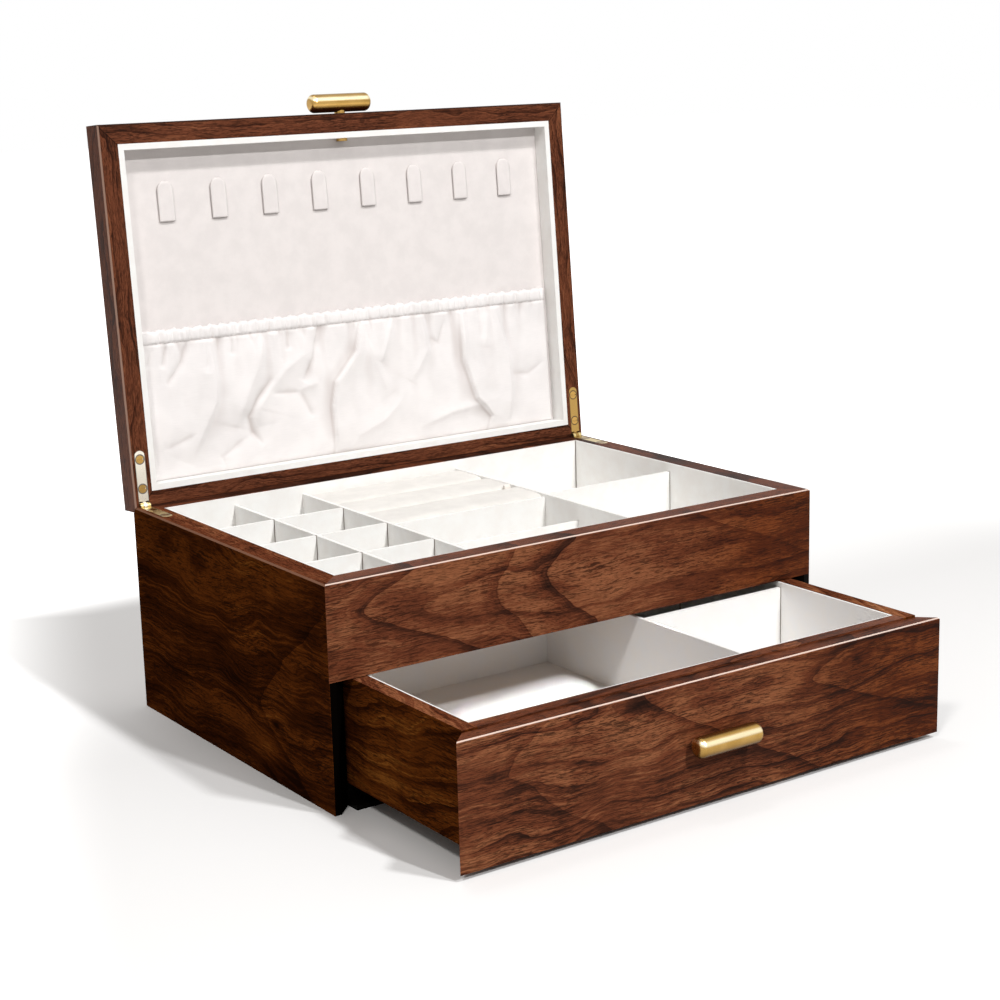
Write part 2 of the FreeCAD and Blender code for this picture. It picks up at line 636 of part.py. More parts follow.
def lid_rails():
    """Four rails, mitred, with a rebate for the outer panel."""
    z = ("rim", "lid_face")
    outer, inner = ("-width / 2", "width / 2"), ("-rail_x", "rail_x")
    body = piece("lid_front_rail", in_lid)
    wedge(body, ADD, ("lid_front", "rail_front"), (outer, z), (inner, z))
    panel_rebate(body)
    break_long_edge(body, "lid_front", "rim")
    break_long_edge(body, "lid_front", "lid_face")
    start = ("0", "lid_front", "rim + lid_bar_height")
    round_bar(body, CUT, "y", start, "lid_rail", "bolt_radius")
    body = piece("lid_back_rail", in_lid)
    wedge(body, ADD, ("rail_back", "hinge_inset"), (inner, z), (outer, z))
    panel_rebate(body)
    back_relief(body, True)
    hinge_recess(body, True)
    for name, side in SIDES.items():
        body = piece("lid_%s_rail" % name, in_lid)
        face, inside = "%d * width / 2" % side, "%d * rail_x" % side
        corners = [(face, "lid_front"), (inside, "rail_front"), (inside, "rail_back"), (face, "hinge_inset")]
        plank(body, corners, z)
        panel_rebate(body)
        back_relief(body, True)
        break_edges(body, lambda mx, my, mz: near(mx, face) and (near(mz, "rim") or near(mz, "lid_face")))
        hinge_recess(body, True)
        screw_bores(body, True)


def panel_rebate(body):
    """Room for the outer panel in the rails' outer inside edge."""
    x = ("-rail_x - housing", "rail_x + housing")
    y = ("rail_front - housing", "rail_back + housing")
    box(body, CUT, x, y, ("lid_face - lid_panel", "lid_face + lid_panel"))


def lid_panels():
    """The outer panel, the padded board inside it and the frame round the board."""
    body = piece("lid_top_panel", in_lid)
    x = ("-rail_x - housing", "rail_x + housing")
    y = ("rail_front - housing", "rail_back + housing")
    box(body, ADD, x, y, ("lid_face - lid_panel", "lid_face"))
    body = piece("lid_board", in_lid)
    x, y = ("-rail_x", "rail_x"), ("rail_front", "rail_back")
    box(body, ADD, x, y, ("board_face", "lid_face - lid_panel"))
    body = piece("lid_liner", in_lid)
    box(body, ADD, x, y, ("rim", "board_face"))
    box(body, CUT, ("-liner_x", "liner_x"), ("liner_front", "liner_back"), ("rim", "board_face"))
    start = ("0", "rail_front", "rim + lid_bar_height")
    round_bar(body, CUT, "y", start, "lid_liner", "bolt_radius")


def necklace_tabs():
    """A row of small tabs, each with a round end towards the lid's front."""
    body = piece("necklace_tabs", in_lid)
    count = int(size("tab_count"))
    for number in range(count):
        middle = "%s * tab_pitch" % (number - (count - 1) / 2)
        x = ("%s - tab_width / 2" % middle, "%s + tab_width / 2" % middle)
        box(body, ADD, x, ("tab_round", "tab_top + tab_length"), ("tab_z", "board_face"))
        round_bar(body, ADD, "z", (middle, "tab_round", "tab_z"), "tab_thick", "tab_width / 2")


def elastic_pocket():
    """A cloth pocket on the board, open to the lid's front, with a band in its hem."""
    body = piece("elastic_pocket", in_lid)
    box(body, ADD, ("-pocket_x", "pocket_x"), ("pocket_mouth", "liner_back"), ("pocket_z", "board_face"))
    inside = "pocket_x - pocket_cloth"
    z = ("pocket_z + pocket_cloth", "board_face + pocket_cloth")
    box(body, CUT, ("-(%s)" % inside, inside), ("pocket_mouth - pocket_cloth", "liner_back - pocket_cloth"), z)
    x = ("pocket_cloth - pocket_x", inside)
    y = ("elastic_mouth", "elastic_mouth + elastic_width")
    z = ("elastic_z", "elastic_z + elastic_thick")
    box(body, CUT, x, y, z)
    body = piece("pocket_elastic", in_lid)
    box(body, ADD, x, y, z)


# ---------------------------------------------------------------- drawer

def drawer_fronts():
    """The walnut front, bevelled into the case, and the board behind it."""
    body = piece("drawer_front", in_drawer)
    back = "front_x - front_thick"
    z = ("front_low", "front_top")
    wedge(body, ADD, ("0", "front_thick"), (("-front_x", "front_x"), z), (("-(%s)" % back, back), z))
    break_long_edge(body, "0", "front_top")
    round_bar(body, CUT, "y", ("0", "0", "front_middle"), "front_thick", "bolt_radius")
    body = piece("drawer_inner_front", in_drawer)
    x = ("-box_inner_x", "box_inner_x")
    box(body, ADD, x, ("front_thick", "box_start"), ("box_low", "box_top"))
    ply_groove(body)
    round_bar(body, CUT, "y", ("0", "front_thick", "front_middle"), "inner_front", "bolt_radius")
    start = ("0", "box_start - bolt_head_height", "front_middle")
    round_bar(body, CUT, "y", start, "bolt_head_height", "bolt_head")


def drawer_box():
    """Sides, back and a bottom let into their grooves."""
    for name, side in SIDES.items():
        body = piece("drawer_%s_side" % name, in_drawer)
        x = sorted(["%d * box_x" % side, "%d * box_inner_x" % side], key=size)
        box(body, ADD, x, ("front_thick", "box_end"), ("box_low", "box_top"))
        ply_groove(body)
    body = piece("drawer_back", in_drawer)
    x = ("-box_inner_x", "box_inner_x")
    box(body, ADD, x, ("box_back", "box_end"), ("box_low", "box_top"))
    ply_groove(body)
    body = piece("drawer_bottom", in_drawer)
    x = ("-box_inner_x - housing", "box_inner_x + housing")
    box(body, ADD, x, ("box_start - housing", "box_back + housing"), ("ply_z", "ply_z + drawer_ply"))


def ply_groove(body):
    """The groove that the drawer's bottom slides into."""
    x = ("-box_inner_x - housing", "box_inner_x + housing")
    box(body, CUT, x, ("box_start - housing", "box_back + housing"), ("ply_z", "ply_z + drawer_ply"))


def drawer_lining():
    """Lined card round the drawer's walls and on its floor."""
    body = piece("drawer_lining", in_drawer)
    z = ("drawer_z - lining", "box_top - lining_drop")
    box(body, ADD, ("-box_inner_x", "box_inner_x"), ("box_start", "box_back"), z)
    x, y = ("lining - box_inner_x", "box_inner_x - lining"), ("box_start + lining", "box_back - lining")
    box(body, CUT, x, y, z)
    body = piece("drawer_floor_lining", in_drawer)
    box(body, ADD, x, y, ("drawer_z - lining", "drawer_z"))


def drawer_dividers():
    """A long divider from front to back, and a short one to its right."""
    z = ("drawer_z", "drawer_divider_top")
    body = piece("drawer_divider", in_drawer)
    x = ("drawer_divider_x", "drawer_divider_x + divider")
    box(body, ADD, x, ("box_start + lining", "box_back - lining"), z)
    body = piece("drawer_cross_divider", in_drawer)
    x = ("drawer_divider_x + divider", "box_inner_x - lining")
    box(body, ADD, x, ("cross_divider_front", "cross_divider_front + divider"), z)


# ---------------------------------------------------------------- the whole box

def build():
    """Every sub-part, then its file."""
    for name, side in SIDES.items():
        side_panel(name + "_side_panel", side)
        runner(name + "_runner", side)
        leaf(name + "_case_leaf", side, False)
        leaf(name + "_lid_leaf", side, True)
    back_panel()
    front_apron()
    base_panel()
    dust_panel()
    tray_lining()
    column_dividers()
    row_dividers()
    cross_dividers()
    ring_rolls()
    leaf_screws("case_leaf_screws", False)
    leaf_screws("lid_leaf_screws", True)
    hinge_pins()
    lid_rails()
    lid_panels()
    necklace_tabs()
    elastic_pocket()
    pull("lid", in_lid, "lid_front", "liner_front", "rim + lid_bar_height")
    drawer_fronts()
    drawer_box()
    drawer_lining()
    drawer_dividers()
    pull("drawer", in_drawer, "0", "box_start - bolt_head_height", "front_middle")


def export():
    """Checks each object, then writes each sub-part to its own file."""
    doc.recompute()
    for thing in doc.Objects:
        if "Invalid" in thing.State or "Error" in thing.State:
            raise RuntimeError("%s (%s) failed to compute" % (thing.Name, thing.Label))
    os.makedirs("parts", exist_ok=True)
    for body in pieces:
        shape = body.Shape
        if shape.isNull() or not shape.isValid() or not shape.Solids:
            raise RuntimeError(body.Label + " has no valid solid")
    for body in pieces:
        body.Shape.exportStep("parts/%s.step" % body.Label)


build()
export()
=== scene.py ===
"""A walnut ring box: a hinged lid with a gathered pocket, a lined tray with ring rolls, and a drawer."""

import math
from types import SimpleNamespace

import bpy
import numpy as np
from mathutils import Matrix, Vector

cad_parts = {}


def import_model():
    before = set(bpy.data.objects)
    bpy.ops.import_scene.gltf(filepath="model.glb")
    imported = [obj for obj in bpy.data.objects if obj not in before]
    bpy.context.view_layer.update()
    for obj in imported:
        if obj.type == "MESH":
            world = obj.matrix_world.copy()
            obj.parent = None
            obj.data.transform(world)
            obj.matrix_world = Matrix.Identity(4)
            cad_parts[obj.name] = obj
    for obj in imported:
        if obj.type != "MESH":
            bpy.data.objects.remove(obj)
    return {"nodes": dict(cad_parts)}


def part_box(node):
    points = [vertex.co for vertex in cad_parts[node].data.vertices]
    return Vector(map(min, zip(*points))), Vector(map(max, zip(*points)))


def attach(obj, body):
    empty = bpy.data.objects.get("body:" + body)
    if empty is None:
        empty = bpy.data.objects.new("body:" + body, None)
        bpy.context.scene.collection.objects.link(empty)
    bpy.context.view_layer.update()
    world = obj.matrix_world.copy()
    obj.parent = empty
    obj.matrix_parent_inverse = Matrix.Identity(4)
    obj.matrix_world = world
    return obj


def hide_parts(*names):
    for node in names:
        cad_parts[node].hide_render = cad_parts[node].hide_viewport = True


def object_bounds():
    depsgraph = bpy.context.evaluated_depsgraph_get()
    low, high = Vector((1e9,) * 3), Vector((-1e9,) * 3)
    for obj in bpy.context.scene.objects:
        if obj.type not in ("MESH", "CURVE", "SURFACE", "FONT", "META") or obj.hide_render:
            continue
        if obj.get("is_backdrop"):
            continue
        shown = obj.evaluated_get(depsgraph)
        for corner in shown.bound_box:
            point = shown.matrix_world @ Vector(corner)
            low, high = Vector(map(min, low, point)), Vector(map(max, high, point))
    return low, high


MM = 0.001

# Measures below are in millimetres. The lid stands open at this angle about its hinge line, and
# its padded board lies this far in from its rim.
HINGE_Y = 99.5
HINGE_Z = 112.2
OPEN_ANGLE = math.radians(94.5)
BOARD_FACE = 10.7

# The open lid's outline: half its width, its upper edge and its lower edge.
LID_HALF = 150.0
LID_TOP = 313.0
LID_FOOT = 108.4

# The hinge leaves: how far each lies from the box's middle, how far its screws stand from the
# hinge line, and the screw heads' radius.
LEAF_X = 144.75
SCREWS_FROM_HINGE = (9.4, 25.3)
SCREW_HEAD = 2.4
LID_SCREWS = tuple(HINGE_Z + reach * math.sin(OPEN_ANGLE) for reach in SCREWS_FROM_HINGE)
CASE_SCREWS = tuple(HINGE_Y - reach for reach in SCREWS_FROM_HINGE)

# The rebate round the drawer's front and the base's front edge are painted black as shade: |x|, y and z.
SHADOW_GAP = ((120, -104.5, -1), (149.75, -88, 65.5))
BASE_EDGE = ((0, -104, -1), (160, -60, 12))

# The lid's pocket: its foot from the hinge line, and its casing's stitches and top from its foot.
POCKET_FOOT = 10.9
CASING_STITCH = 74.0
CASING_TOP = 81.0


# ---------------------------------------------------------------- colours and wiring


def tint(code):
    """A colour written as six hex digits, as the linear values that a shader takes."""
    parts = [int(code[i : i + 2], 16) / 255 for i in (0, 2, 4)]
    linear = [p / 12.92 if p <= 0.04045 else ((p + 0.055) / 1.055) ** 2.4 for p in parts]
    return (*linear, 1.0)


class Finish:
    """A material being wired up: each method adds one node and returns its output."""

    def __init__(self, name):
        self.material = bpy.data.materials.new(name)
        self.material.use_nodes = True
        self.tree = self.material.node_tree
        self.tree.nodes.clear()
        self.out = self.tree.nodes.new("ShaderNodeOutputMaterial")

    def add(self, kind, inputs=(), **settings):
        node = self.tree.nodes.new(kind)
        for key, value in settings.items():
            setattr(node, key, value)
        for key, value in dict(inputs).items():
            socket = node.inputs[key]
            if isinstance(value, bpy.types.NodeSocket):
                self.tree.links.new(value, socket)
            elif value is not None:
                socket.default_value = value
        return node

    def place(self, centre=(0, 0, 0)):
        """Object coordinates in millimetres, measured from a centre."""
        texture = self.add("ShaderNodeTexCoord")
        moved = self.add(
            "ShaderNodeMapping",
            {
                "Vector": texture.outputs["Object"],
                "Location": [-c for c in centre],
                "Scale": (1000, 1000, 1000),
            },
        )
        return moved.outputs[0]

    def split(self, vector):
        return self.add("ShaderNodeSeparateXYZ", {0: vector}).outputs

    def joined(self, x, y, z):
        return self.add("ShaderNodeCombineXYZ", {0: x, 1: y, 2: z}).outputs[0]

    def math(self, operation, a, b=None, c=None, clamp=False):
        inputs = {0: a, 1: b, 2: c}
        return self.add("ShaderNodeMath", inputs, operation=operation, use_clamp=clamp).outputs[0]

    def off(self, value, place):
        """How far a value lies from a place, on either side."""
        return self.math("ABSOLUTE", self.math("SUBTRACT", value, place))

    def nudged(self, noise, size, value):
        """A value pushed up and down by a noise about the noise's middle."""
        return self.math("MULTIPLY_ADD", self.math("SUBTRACT", noise, 0.5), size, value)

    def stretched(self, vector, scale):
        return self.add("ShaderNodeVectorMath", {0: vector, 1: scale}, operation="MULTIPLY").outputs[0]

    def noise(self, vector, scale=1.0, detail=2.0, roughness=0.5, distortion=0.0):
        looks = {"Scale": scale, "Detail": detail, "Roughness": roughness, "Distortion": distortion}
        return self.add("ShaderNodeTexNoise", {"Vector": vector} | looks).outputs[0]

    def noise_along(self, value, scale=1.0, detail=2.0, roughness=0.5):
        """A noise that changes along one value only."""
        looks = {"Scale": scale, "Detail": detail, "Roughness": roughness}
        return self.add("ShaderNodeTexNoise", {"W": value} | looks, noise_dimensions="1D").outputs[0]

    def between(self, value, low, high, to_low=0.0, to_high=1.0, smooth=True):
        """A value carried from one range to another, held at its ends."""
        ends = {"From Min": low, "From Max": high, "To Min": to_low, "To Max": to_high}
        style = "SMOOTHSTEP" if smooth else "LINEAR"
        node = self.add("ShaderNodeMapRange", {"Value": value} | ends, interpolation_type=style, clamp=True)
        return node.outputs[0]

    def ramp(self, value, stops):
        """A run of colours: each stop is a place from 0 to 1 and a colour."""
        node = self.add("ShaderNodeValToRGB", {0: value})
        band = node.color_ramp
        band.interpolation = "EASE"
        for index, (where, colour) in enumerate(stops):
            stop = band.elements[index] if index < 2 else band.elements.new(where)
            stop.position = where
            stop.color = tint(colour) if isinstance(colour, str) else colour
        return node.outputs[0]

    def mix(self, amount, first, second):
        """Two colours mixed by an amount; the node keeps its colour sockets at 6, 7 and 2."""
        inputs = {0: amount, 6: first, 7: second}
        return self.add("ShaderNodeMix", inputs, data_type="RGBA").outputs[2]

    def bump(self, height, strength, distance):
        looks = {"Height": height, "Strength": strength, "Distance": distance}
        return self.add("ShaderNodeBump", looks).outputs[0]

    def facing(self, normal="True Normal"):
        """The surface's normal on the object's own axes, so that it keeps to the piece as it moves."""
        turned = self.add(
            "ShaderNodeVectorTransform",
            {"Vector": self.add("ShaderNodeNewGeometry").outputs[normal]},
            vector_type="NORMAL",
            convert_from="WORLD",
            convert_to="OBJECT",
        )
        return turned.outputs[0]

    def arris(self):
        """1 on the narrow slopes along broken edges, where no axis has most of the normal."""
        size = self.add("ShaderNodeVectorMath", {0: self.facing()}, operation="ABSOLUTE").outputs[0]
        x, y, z = self.split(size)
        most = self.math("MAXIMUM", x, self.math("MAXIMUM", y, z))
        return self.math("LESS_THAN", most, 0.9)

    def inside(self, low, high):
        """1 within a box of object coordinates in millimetres, with x taken on either side."""
        xyz = self.split(self.place())
        x = self.math("ABSOLUTE", xyz[0])
        held = None
        for value, least, most in zip((x, xyz[1], xyz[2]), low, high):
            middle, half = (least + most) / 2, (most - least) / 2
            near = self.math("LESS_THAN", self.off(value, middle), half)
            held = near if held is None else self.math("MULTIPLY", held, near)
        return held

    def surface(self, **inputs):
        named = {key.replace("_", " "): value for key, value in inputs.items()}
        shader = self.add("ShaderNodeBsdfPrincipled", named)
        self.tree.links.new(shader.outputs[0], self.out.inputs[0])
        return self.material


# ---------------------------------------------------------------- finishes

AXES = {"x": 0, "y": 1, "z": 2}

WALNUT = [(0.0, "180a06"), (0.28, "3d2015"), (0.5, "6a3924"), (0.72, "8f593b"), (1.0, "b77f59")]
WARM_WALNUT = [(0.0, "0e0502"), (0.28, "291007"), (0.5, "4b200c"), (0.72, "703819"), (1.0, "9c5f33")]
# Stops painted darker as shade, for boards that stand in shade: the left side, the drawer's sides and the
# base.
SHADED_WALNUT = [(0.0, "0a0401"), (0.3, "230f05"), (0.55, "411d08"), (0.78, "673411"), (1.0, "8c5320")]
RED_WALNUT = [(0.0, "1c0c06"), (0.28, "3f2013"), (0.5, "683a26"), (0.72, "8b5539"), (1.0, "b07f5c")]
PORE = "1c0e08"
# Black painted as shade in the drawer's opening and on the base's front edge.
PAINTED_SHADE_BLACK = "060403"
MITRE_JOINT = "140804"
CARD_JOINT = "6d6058"

# How a board looks unless it says otherwise.
USUAL_LOOK = {
    "level": 0.55,  # how pale the board is as a whole, from 0 to 1
    "edge": 0.3,  # how dark each ring starts
    "streaks": 0.14,  # how strongly the lines along the rings show
    "grain": 0.42,  # how strongly the fibres show
    "curl": 0.1,  # how strongly the curl across the fibres shows
    "cloudy": 0.5,  # how strongly broad clouds show
    "bend": 26,  # how far the rings wander
    "sheen": 0.04,  # the polish's specular level
    "worn_to": "f4e0d4",  # the colour painted on the broken edges: a painted highlight where pale, a painted shade where dark
    "glint": None,  # the height above which the broken edges keep their painted highlight
    "mitre": False,  # whether the lid's mitres show
    "deepen": None,  # the places between which the wood turns warmer
    "crown": None,  # how much darker upward faces are painted, as painted shade on the tops
    "stain": None,  # the box that is painted black as shade
}


def board_lie(f, along, across, heart, bend):
    """Places along, across and through a board from its heart, and its bent line.

    The bent line is the place across the board pushed aside by three noises, slow to quick.
    """
    xyz = f.split(f.place(heart))
    depth = ({"x", "y", "z"} - {along, across}).pop()
    u, v, w = (xyz[AXES[a]] for a in (along, across, depth))
    cell = f.joined(u, v, w)
    slow = f.noise(f.stretched(cell, (0.013, 0.022, 0.022)), 1.0, 1.0)
    waver = f.noise(f.stretched(cell, (0.03, 0.07, 0.07)), 1.0, 2.0, 0.55)
    ripple = f.noise(f.stretched(cell, (0.09, 0.22, 0.22)), 1.0, 2.0)
    bent = f.nudged(ripple, 1.4, f.nudged(waver, bend * 0.42, f.nudged(slow, bend, v)))
    middle = heart[AXES[along]], heart[AXES[across]]
    return SimpleNamespace(u=u, v=v, w=w, cell=cell, waver=waver, bent=bent, heart=middle)


def part_at_knots(f, lie, knots):
    """Parts the bent line round each knot, and gives each knot's dark heart.

    A knot is its place along and across, its size and its weight.
    """
    hearts = []
    for knot_u, knot_v, size, weight in knots:
        beside = f.math("MULTIPLY", f.math("SUBTRACT", lie.u, knot_u - lie.heart[0]), 0.5 / size)
        over = f.math("SUBTRACT", lie.v, knot_v - lie.heart[1])
        above = f.math("POWER", f.math("DIVIDE", over, size), 2.0)
        apart = f.math("MULTIPLY_ADD", beside, beside, above)
        near = f.math("EXPONENT", f.math("MULTIPLY", apart, -0.7))
        lie.bent = f.math("MULTIPLY_ADD", f.math("MULTIPLY", over, near), -0.85, lie.bent)
        hearts.append(f.math("MULTIPLY", f.math("EXPONENT", f.math("MULTIPLY", apart, -7.0)), weight))
    return hearts


def ring_distance(f, lie, spread):
    """How far a point lies from the heart line.

    It is the bent line, joined at right angles with the distance along the board times a small
    lean for either way, plus most of the depth, which draws nested arches round the heart.
    """
    back, forth = (f.math("MULTIPLY", lie.u, lean) for lean in (-spread[0], spread[1]))
    lean = f.math("MULTIPLY_ADD", lie.w, 0.8, f.math("MAXIMUM", back, forth))
    return f.math("SQRT", f.math("MULTIPLY_ADD", lean, lean, f.math("MULTIPLY", lie.bent, lie.bent)))


def ring_edges(f, rings, ring, patch):
    """Each ring's dark inner edge: crisp within, fading outwards, and fainter in patches."""
    share = f.math("FRACT", f.math("DIVIDE", rings, ring))
    dark = f.math("EXPONENT", f.math("MULTIPLY", share, -5.0))
    dark = f.math("MULTIPLY", dark, f.between(share, 0.0, 0.035))
    return f.math("MULTIPLY", dark, f.between(patch, 0.3, 0.62, 0.2, 1.0))


def arch_shade(f, lie, tip_u, tip_v, way, slope, fade):
    """A dark arch: a branch of a hyperbola, given by its tip, the way it opens and its slope.

    It is darkest at its edge and decays outwards, half within its fade and half within its edge.
    """
    blunt, edge = 8.0, 2.0
    rise = f.math("MULTIPLY", f.math("SUBTRACT", lie.v, tip_v - lie.heart[1]), slope)
    bow = f.math("SQRT", f.math("MULTIPLY_ADD", rise, rise, blunt**2))
    run = f.math("MULTIPLY", f.math("SUBTRACT", lie.u, tip_u - lie.heart[0]), way)
    wander = f.math("MULTIPLY", f.math("SUBTRACT", lie.waver, 0.5), 18.0)
    inward = f.math("SUBTRACT", f.math("ADD", run, wander), f.math("SUBTRACT", bow, blunt))
    outward = f.math("MINIMUM", inward, 0.0)
    decays = (f.math("EXPONENT", f.math("DIVIDE", outward, reach)) for reach in (fade, edge))
    shade = f.math("ADD", *(f.math("MULTIPLY", decay, 0.5) for decay in decays))
    streaky = f.between(f.noise_along(inward, 1.0 / 2.1, 2.0, 0.6), 0.3, 0.65, 0.55, 1.15)
    return f.math("MULTIPLY", f.math("MULTIPLY", shade, streaky), f.between(inward, 1.2, -0.6))


def pore_dashes(f, lie):
    """Short dark pores that run lengthwise and turn a little with the bent line."""
    nearly = f.math("MULTIPLY_ADD", f.math("SUBTRACT", lie.bent, lie.v), 0.3, lie.v)
    cell = f.joined(lie.u, nearly, lie.w)
    long = f.noise(f.stretched(cell, (0.15, 1.9, 1.9)), 1.0, 2.0, 0.6)
    fine = f.noise(f.stretched(cell, (0.3, 3.0, 3.0)), 1.0, 1.0, 0.5)
    fine = f.math("MULTIPLY", f.between(fine, 0.55, 0.61), 0.8)
    return f.math("MAXIMUM", f.between(long, 0.54, 0.58), fine)


def mitre_seam(f):
    """A thin line up each of the open lid's four mitres, where two rails meet at 45 degrees."""
    spots = f.split(f.place())
    aside = f.math("SUBTRACT", LID_HALF, f.math("ABSOLUTE", spots[0]))
    upper = f.math("SUBTRACT", f.math("SUBTRACT", LID_TOP, spots[2]), aside)
    lower = f.math("SUBTRACT", f.math("SUBTRACT", spots[2], LID_FOOT), aside)
    seam = f.math("MINIMUM", f.math("ABSOLUTE", upper), f.math("ABSOLUTE", lower))
    return f.between(seam, 0.45, 0.15, 0.0, 0.8)


def figured(f, lie, rings, ring, look, tone):
    """A tone pushed up and down by streaks, fibres, curl and clouds, and the fibres by themselves."""
    lines = f.noise_along(rings, 1.0 / 1.7, 2.0, 0.6)
    broad = f.noise_along(rings, 1.0 / ring, 2.0, 0.5)
    fibre = f.noise(f.stretched(lie.cell, (0.075, 1.3, 1.3)), 1.0, 3.0, 0.7)
    figure = f.noise(f.stretched(lie.cell, (0.06, 0.03, 0.03)), 1.0, 2.0, 0.5, 1.2)
    cloud = f.noise(f.stretched(lie.cell, (0.016, 0.045, 0.045)), 1.0, 2.0, 0.5, 0.6)
    tone = f.nudged(broad, look.streaks * 1.2, f.nudged(lines, look.streaks, tone))
    tone = f.nudged(figure, look.curl, f.nudged(fibre, look.grain, tone))
    tone = f.nudged(cloud, look.cloudy, tone)
    return f.between(tone, 0.12, 0.95, 0.0, 1.0, smooth=False), fibre


def walnut(
    name, along, across, heart, spread=(0.17, 0.05), ring=12.5, stops=WALNUT, arches=(), knots=(), **changes
):
    """Walnut with growth rings about a heart line that leans through the board.

    Its tone is a level, less each ring's dark edge, the knots' hearts and the arches, and then
    figured. An arch is its tip, its way, its slope, its weight and its fade. Pores darken the
    colour. The broken edges are painted a colour of their own, a painted highlight where it is
    pale and a painted shade where it is dark; upward faces may be painted darker as shade, and a
    box may be painted black as shade.
    """
    look = SimpleNamespace(**USUAL_LOOK | changes)
    f = Finish(name)
    lie = board_lie(f, along, across, heart, look.bend)
    hearts = part_at_knots(f, lie, knots)
    rings = ring_distance(f, lie, spread)
    patch = f.noise(f.stretched(lie.cell, (0.02, 0.06, 0.06)), 1.0, 1.0)
    tone = f.math("MULTIPLY_ADD", ring_edges(f, rings, ring, patch), -look.edge, look.level)
    for heartwood in hearts:
        tone = f.math("SUBTRACT", tone, heartwood)
    for tip_u, tip_v, way, slope, weight, fade in arches:
        shade = arch_shade(f, lie, tip_u, tip_v, way, slope, fade)
        tone = f.math("MULTIPLY_ADD", shade, -weight, tone)
    tone, fibre = figured(f, lie, rings, ring, look, tone)
    colour = f.ramp(tone, stops)
    if look.deepen is not None:
        ends = [place - lie.heart[0] for place in look.deepen]
        colour = f.mix(f.between(lie.u, *ends, 0.0, 0.9), colour, f.ramp(tone, WARM_WALNUT))
    # Painted shade: faces that look upward are painted darker.
    if look.crown is not None:
        darker = f.ramp(f.math("SUBTRACT", tone, look.crown), WALNUT)
        upward = f.between(f.split(f.facing())[2], 0.85, 0.95)
        colour = f.mix(upward, colour, darker)
    pores = pore_dashes(f, lie)
    deep = f.math("MULTIPLY", pores, f.between(patch, 0.25, 0.65, 0.45, 0.78))
    colour = f.mix(deep, colour, tint(PORE))
    # Painted highlight and painted shade on the broken edges.
    painted_edge = f.arris()
    # Painted shade: the boxes in the drawer's opening are painted black, and lose the painted edge light.
    if look.stain is not None:
        in_painted_shade = f.inside(*look.stain)
        colour = f.mix(in_painted_shade, colour, tint(PAINTED_SHADE_BLACK))
        painted_edge = f.math("MULTIPLY", painted_edge, f.math("SUBTRACT", 1.0, in_painted_shade))
    # The painted highlight is kept to the broken edges above the glint height.
    if look.glint is not None:
        height = f.split(f.place())[2]
        painted_edge = f.math("MULTIPLY", painted_edge, f.between(height, look.glint - 0.1, look.glint + 0.1))
    if look.mitre:
        colour = f.mix(mitre_seam(f), colour, tint(MITRE_JOINT))
    colour = f.mix(f.math("MULTIPLY", painted_edge, 0.85), colour, tint(look.worn_to))
    dents = f.math("MULTIPLY_ADD", pores, -0.7, fibre)
    rough = f.math("MULTIPLY_ADD", painted_edge, -0.14, f.between(fibre, 0.2, 0.8, 0.42, 0.52))
    return f.surface(
        Base_Color=colour,
        Roughness=rough,
        Normal=f.bump(dents, 0.25, 0.00008),
        Specular_IOR_Level=look.sheen,
    )


def suede(name, colour, nap=1.0, seams=(), corners=()):
    """Brushed cloth: a soft mottled nap with fine fibres.

    A seam is a thin dark gap across an axis, at its place, so dark; a corner is an upright dark
    joint at its x and y.
    """
    f = Finish(name)
    cell = f.place()
    patches = f.noise(cell, 0.09, 3.0, 0.6)
    fibres = f.noise(cell, 2.6, 3.0, 0.7)
    grit = f.noise(cell, 7.0, 2.0, 0.6)
    tone = f.nudged(fibres, 0.35, patches)
    base = tint(colour)
    low = tuple(c * (1 - 0.05 * nap) for c in base[:3]) + (1,)
    high = tuple(min(c * (1 + 0.015 * nap), 0.9) for c in base[:3]) + (1,)
    shown = f.ramp(tone, [(0.3, low), (0.7, high)])
    for axis, plane, dark in seams:
        beside = f.off(f.split(cell)[AXES[axis]], plane)
        shown = f.mix(f.between(beside, 0.6, 0.3, 0.0, dark), shown, tint(CARD_JOINT))
    for x, y in corners:
        spot = f.split(cell)
        off_x, off_y = f.math("SUBTRACT", spot[0], x), f.math("SUBTRACT", spot[1], y)
        away = f.math("SQRT", f.math("MULTIPLY_ADD", off_x, off_x, f.math("MULTIPLY", off_y, off_y)))
        shown = f.mix(f.between(away, 0.7, 0.3, 0.0, 0.8), shown, tint(CARD_JOINT))
    height = f.math("ADD", fibres, f.math("MULTIPLY", grit, 0.5))
    return f.surface(
        Base_Color=shown,
        Roughness=0.94,
        Normal=f.bump(height, 0.3 * nap, 0.00012),
        Sheen_Weight=0.25,
        Sheen_Roughness=0.5,
        Specular_IOR_Level=0.2,
    )


def brass(name, along):
    """Satin brass with fine lines turned or brushed along one way."""
    f = Finish(name)
    cell = f.place()
    steps = [2.5, 2.5, 2.5]
    steps[AXES[along]] = 0.06
    lines = f.noise(f.stretched(cell, steps), 1.0, 3.0, 0.7)
    patches = f.noise(cell, 0.12, 2.0)
    colour = f.ramp(patches, [(0.3, "ad8848"), (0.7, "bb9656")])
    # Painted reflection and shade: a pale painted highlight towards the upper front, and painted shade on
    # top and underneath.
    rise = f.split(f.facing("Normal"))[2]
    colour = f.mix(f.between(rise, 0.8, 0.97, 0.0, 0.45), colour, tint("6a4d22"))
    colour = f.mix(f.between(rise, 0.0, -0.8, 0.0, 0.85), colour, tint("4a3010"))
    painted_highlight = f.between(f.off(rise, 0.5), 0.3, 0.08)
    colour = f.mix(f.math("MULTIPLY", painted_highlight, 0.8), colour, tint("fff1c9"))
    return f.surface(
        Base_Color=colour,
        Metallic=1.0,
        Roughness=f.between(lines, 0.2, 0.8, 0.22, 0.36),
        Normal=f.bump(lines, 0.12, 0.00005),
    )


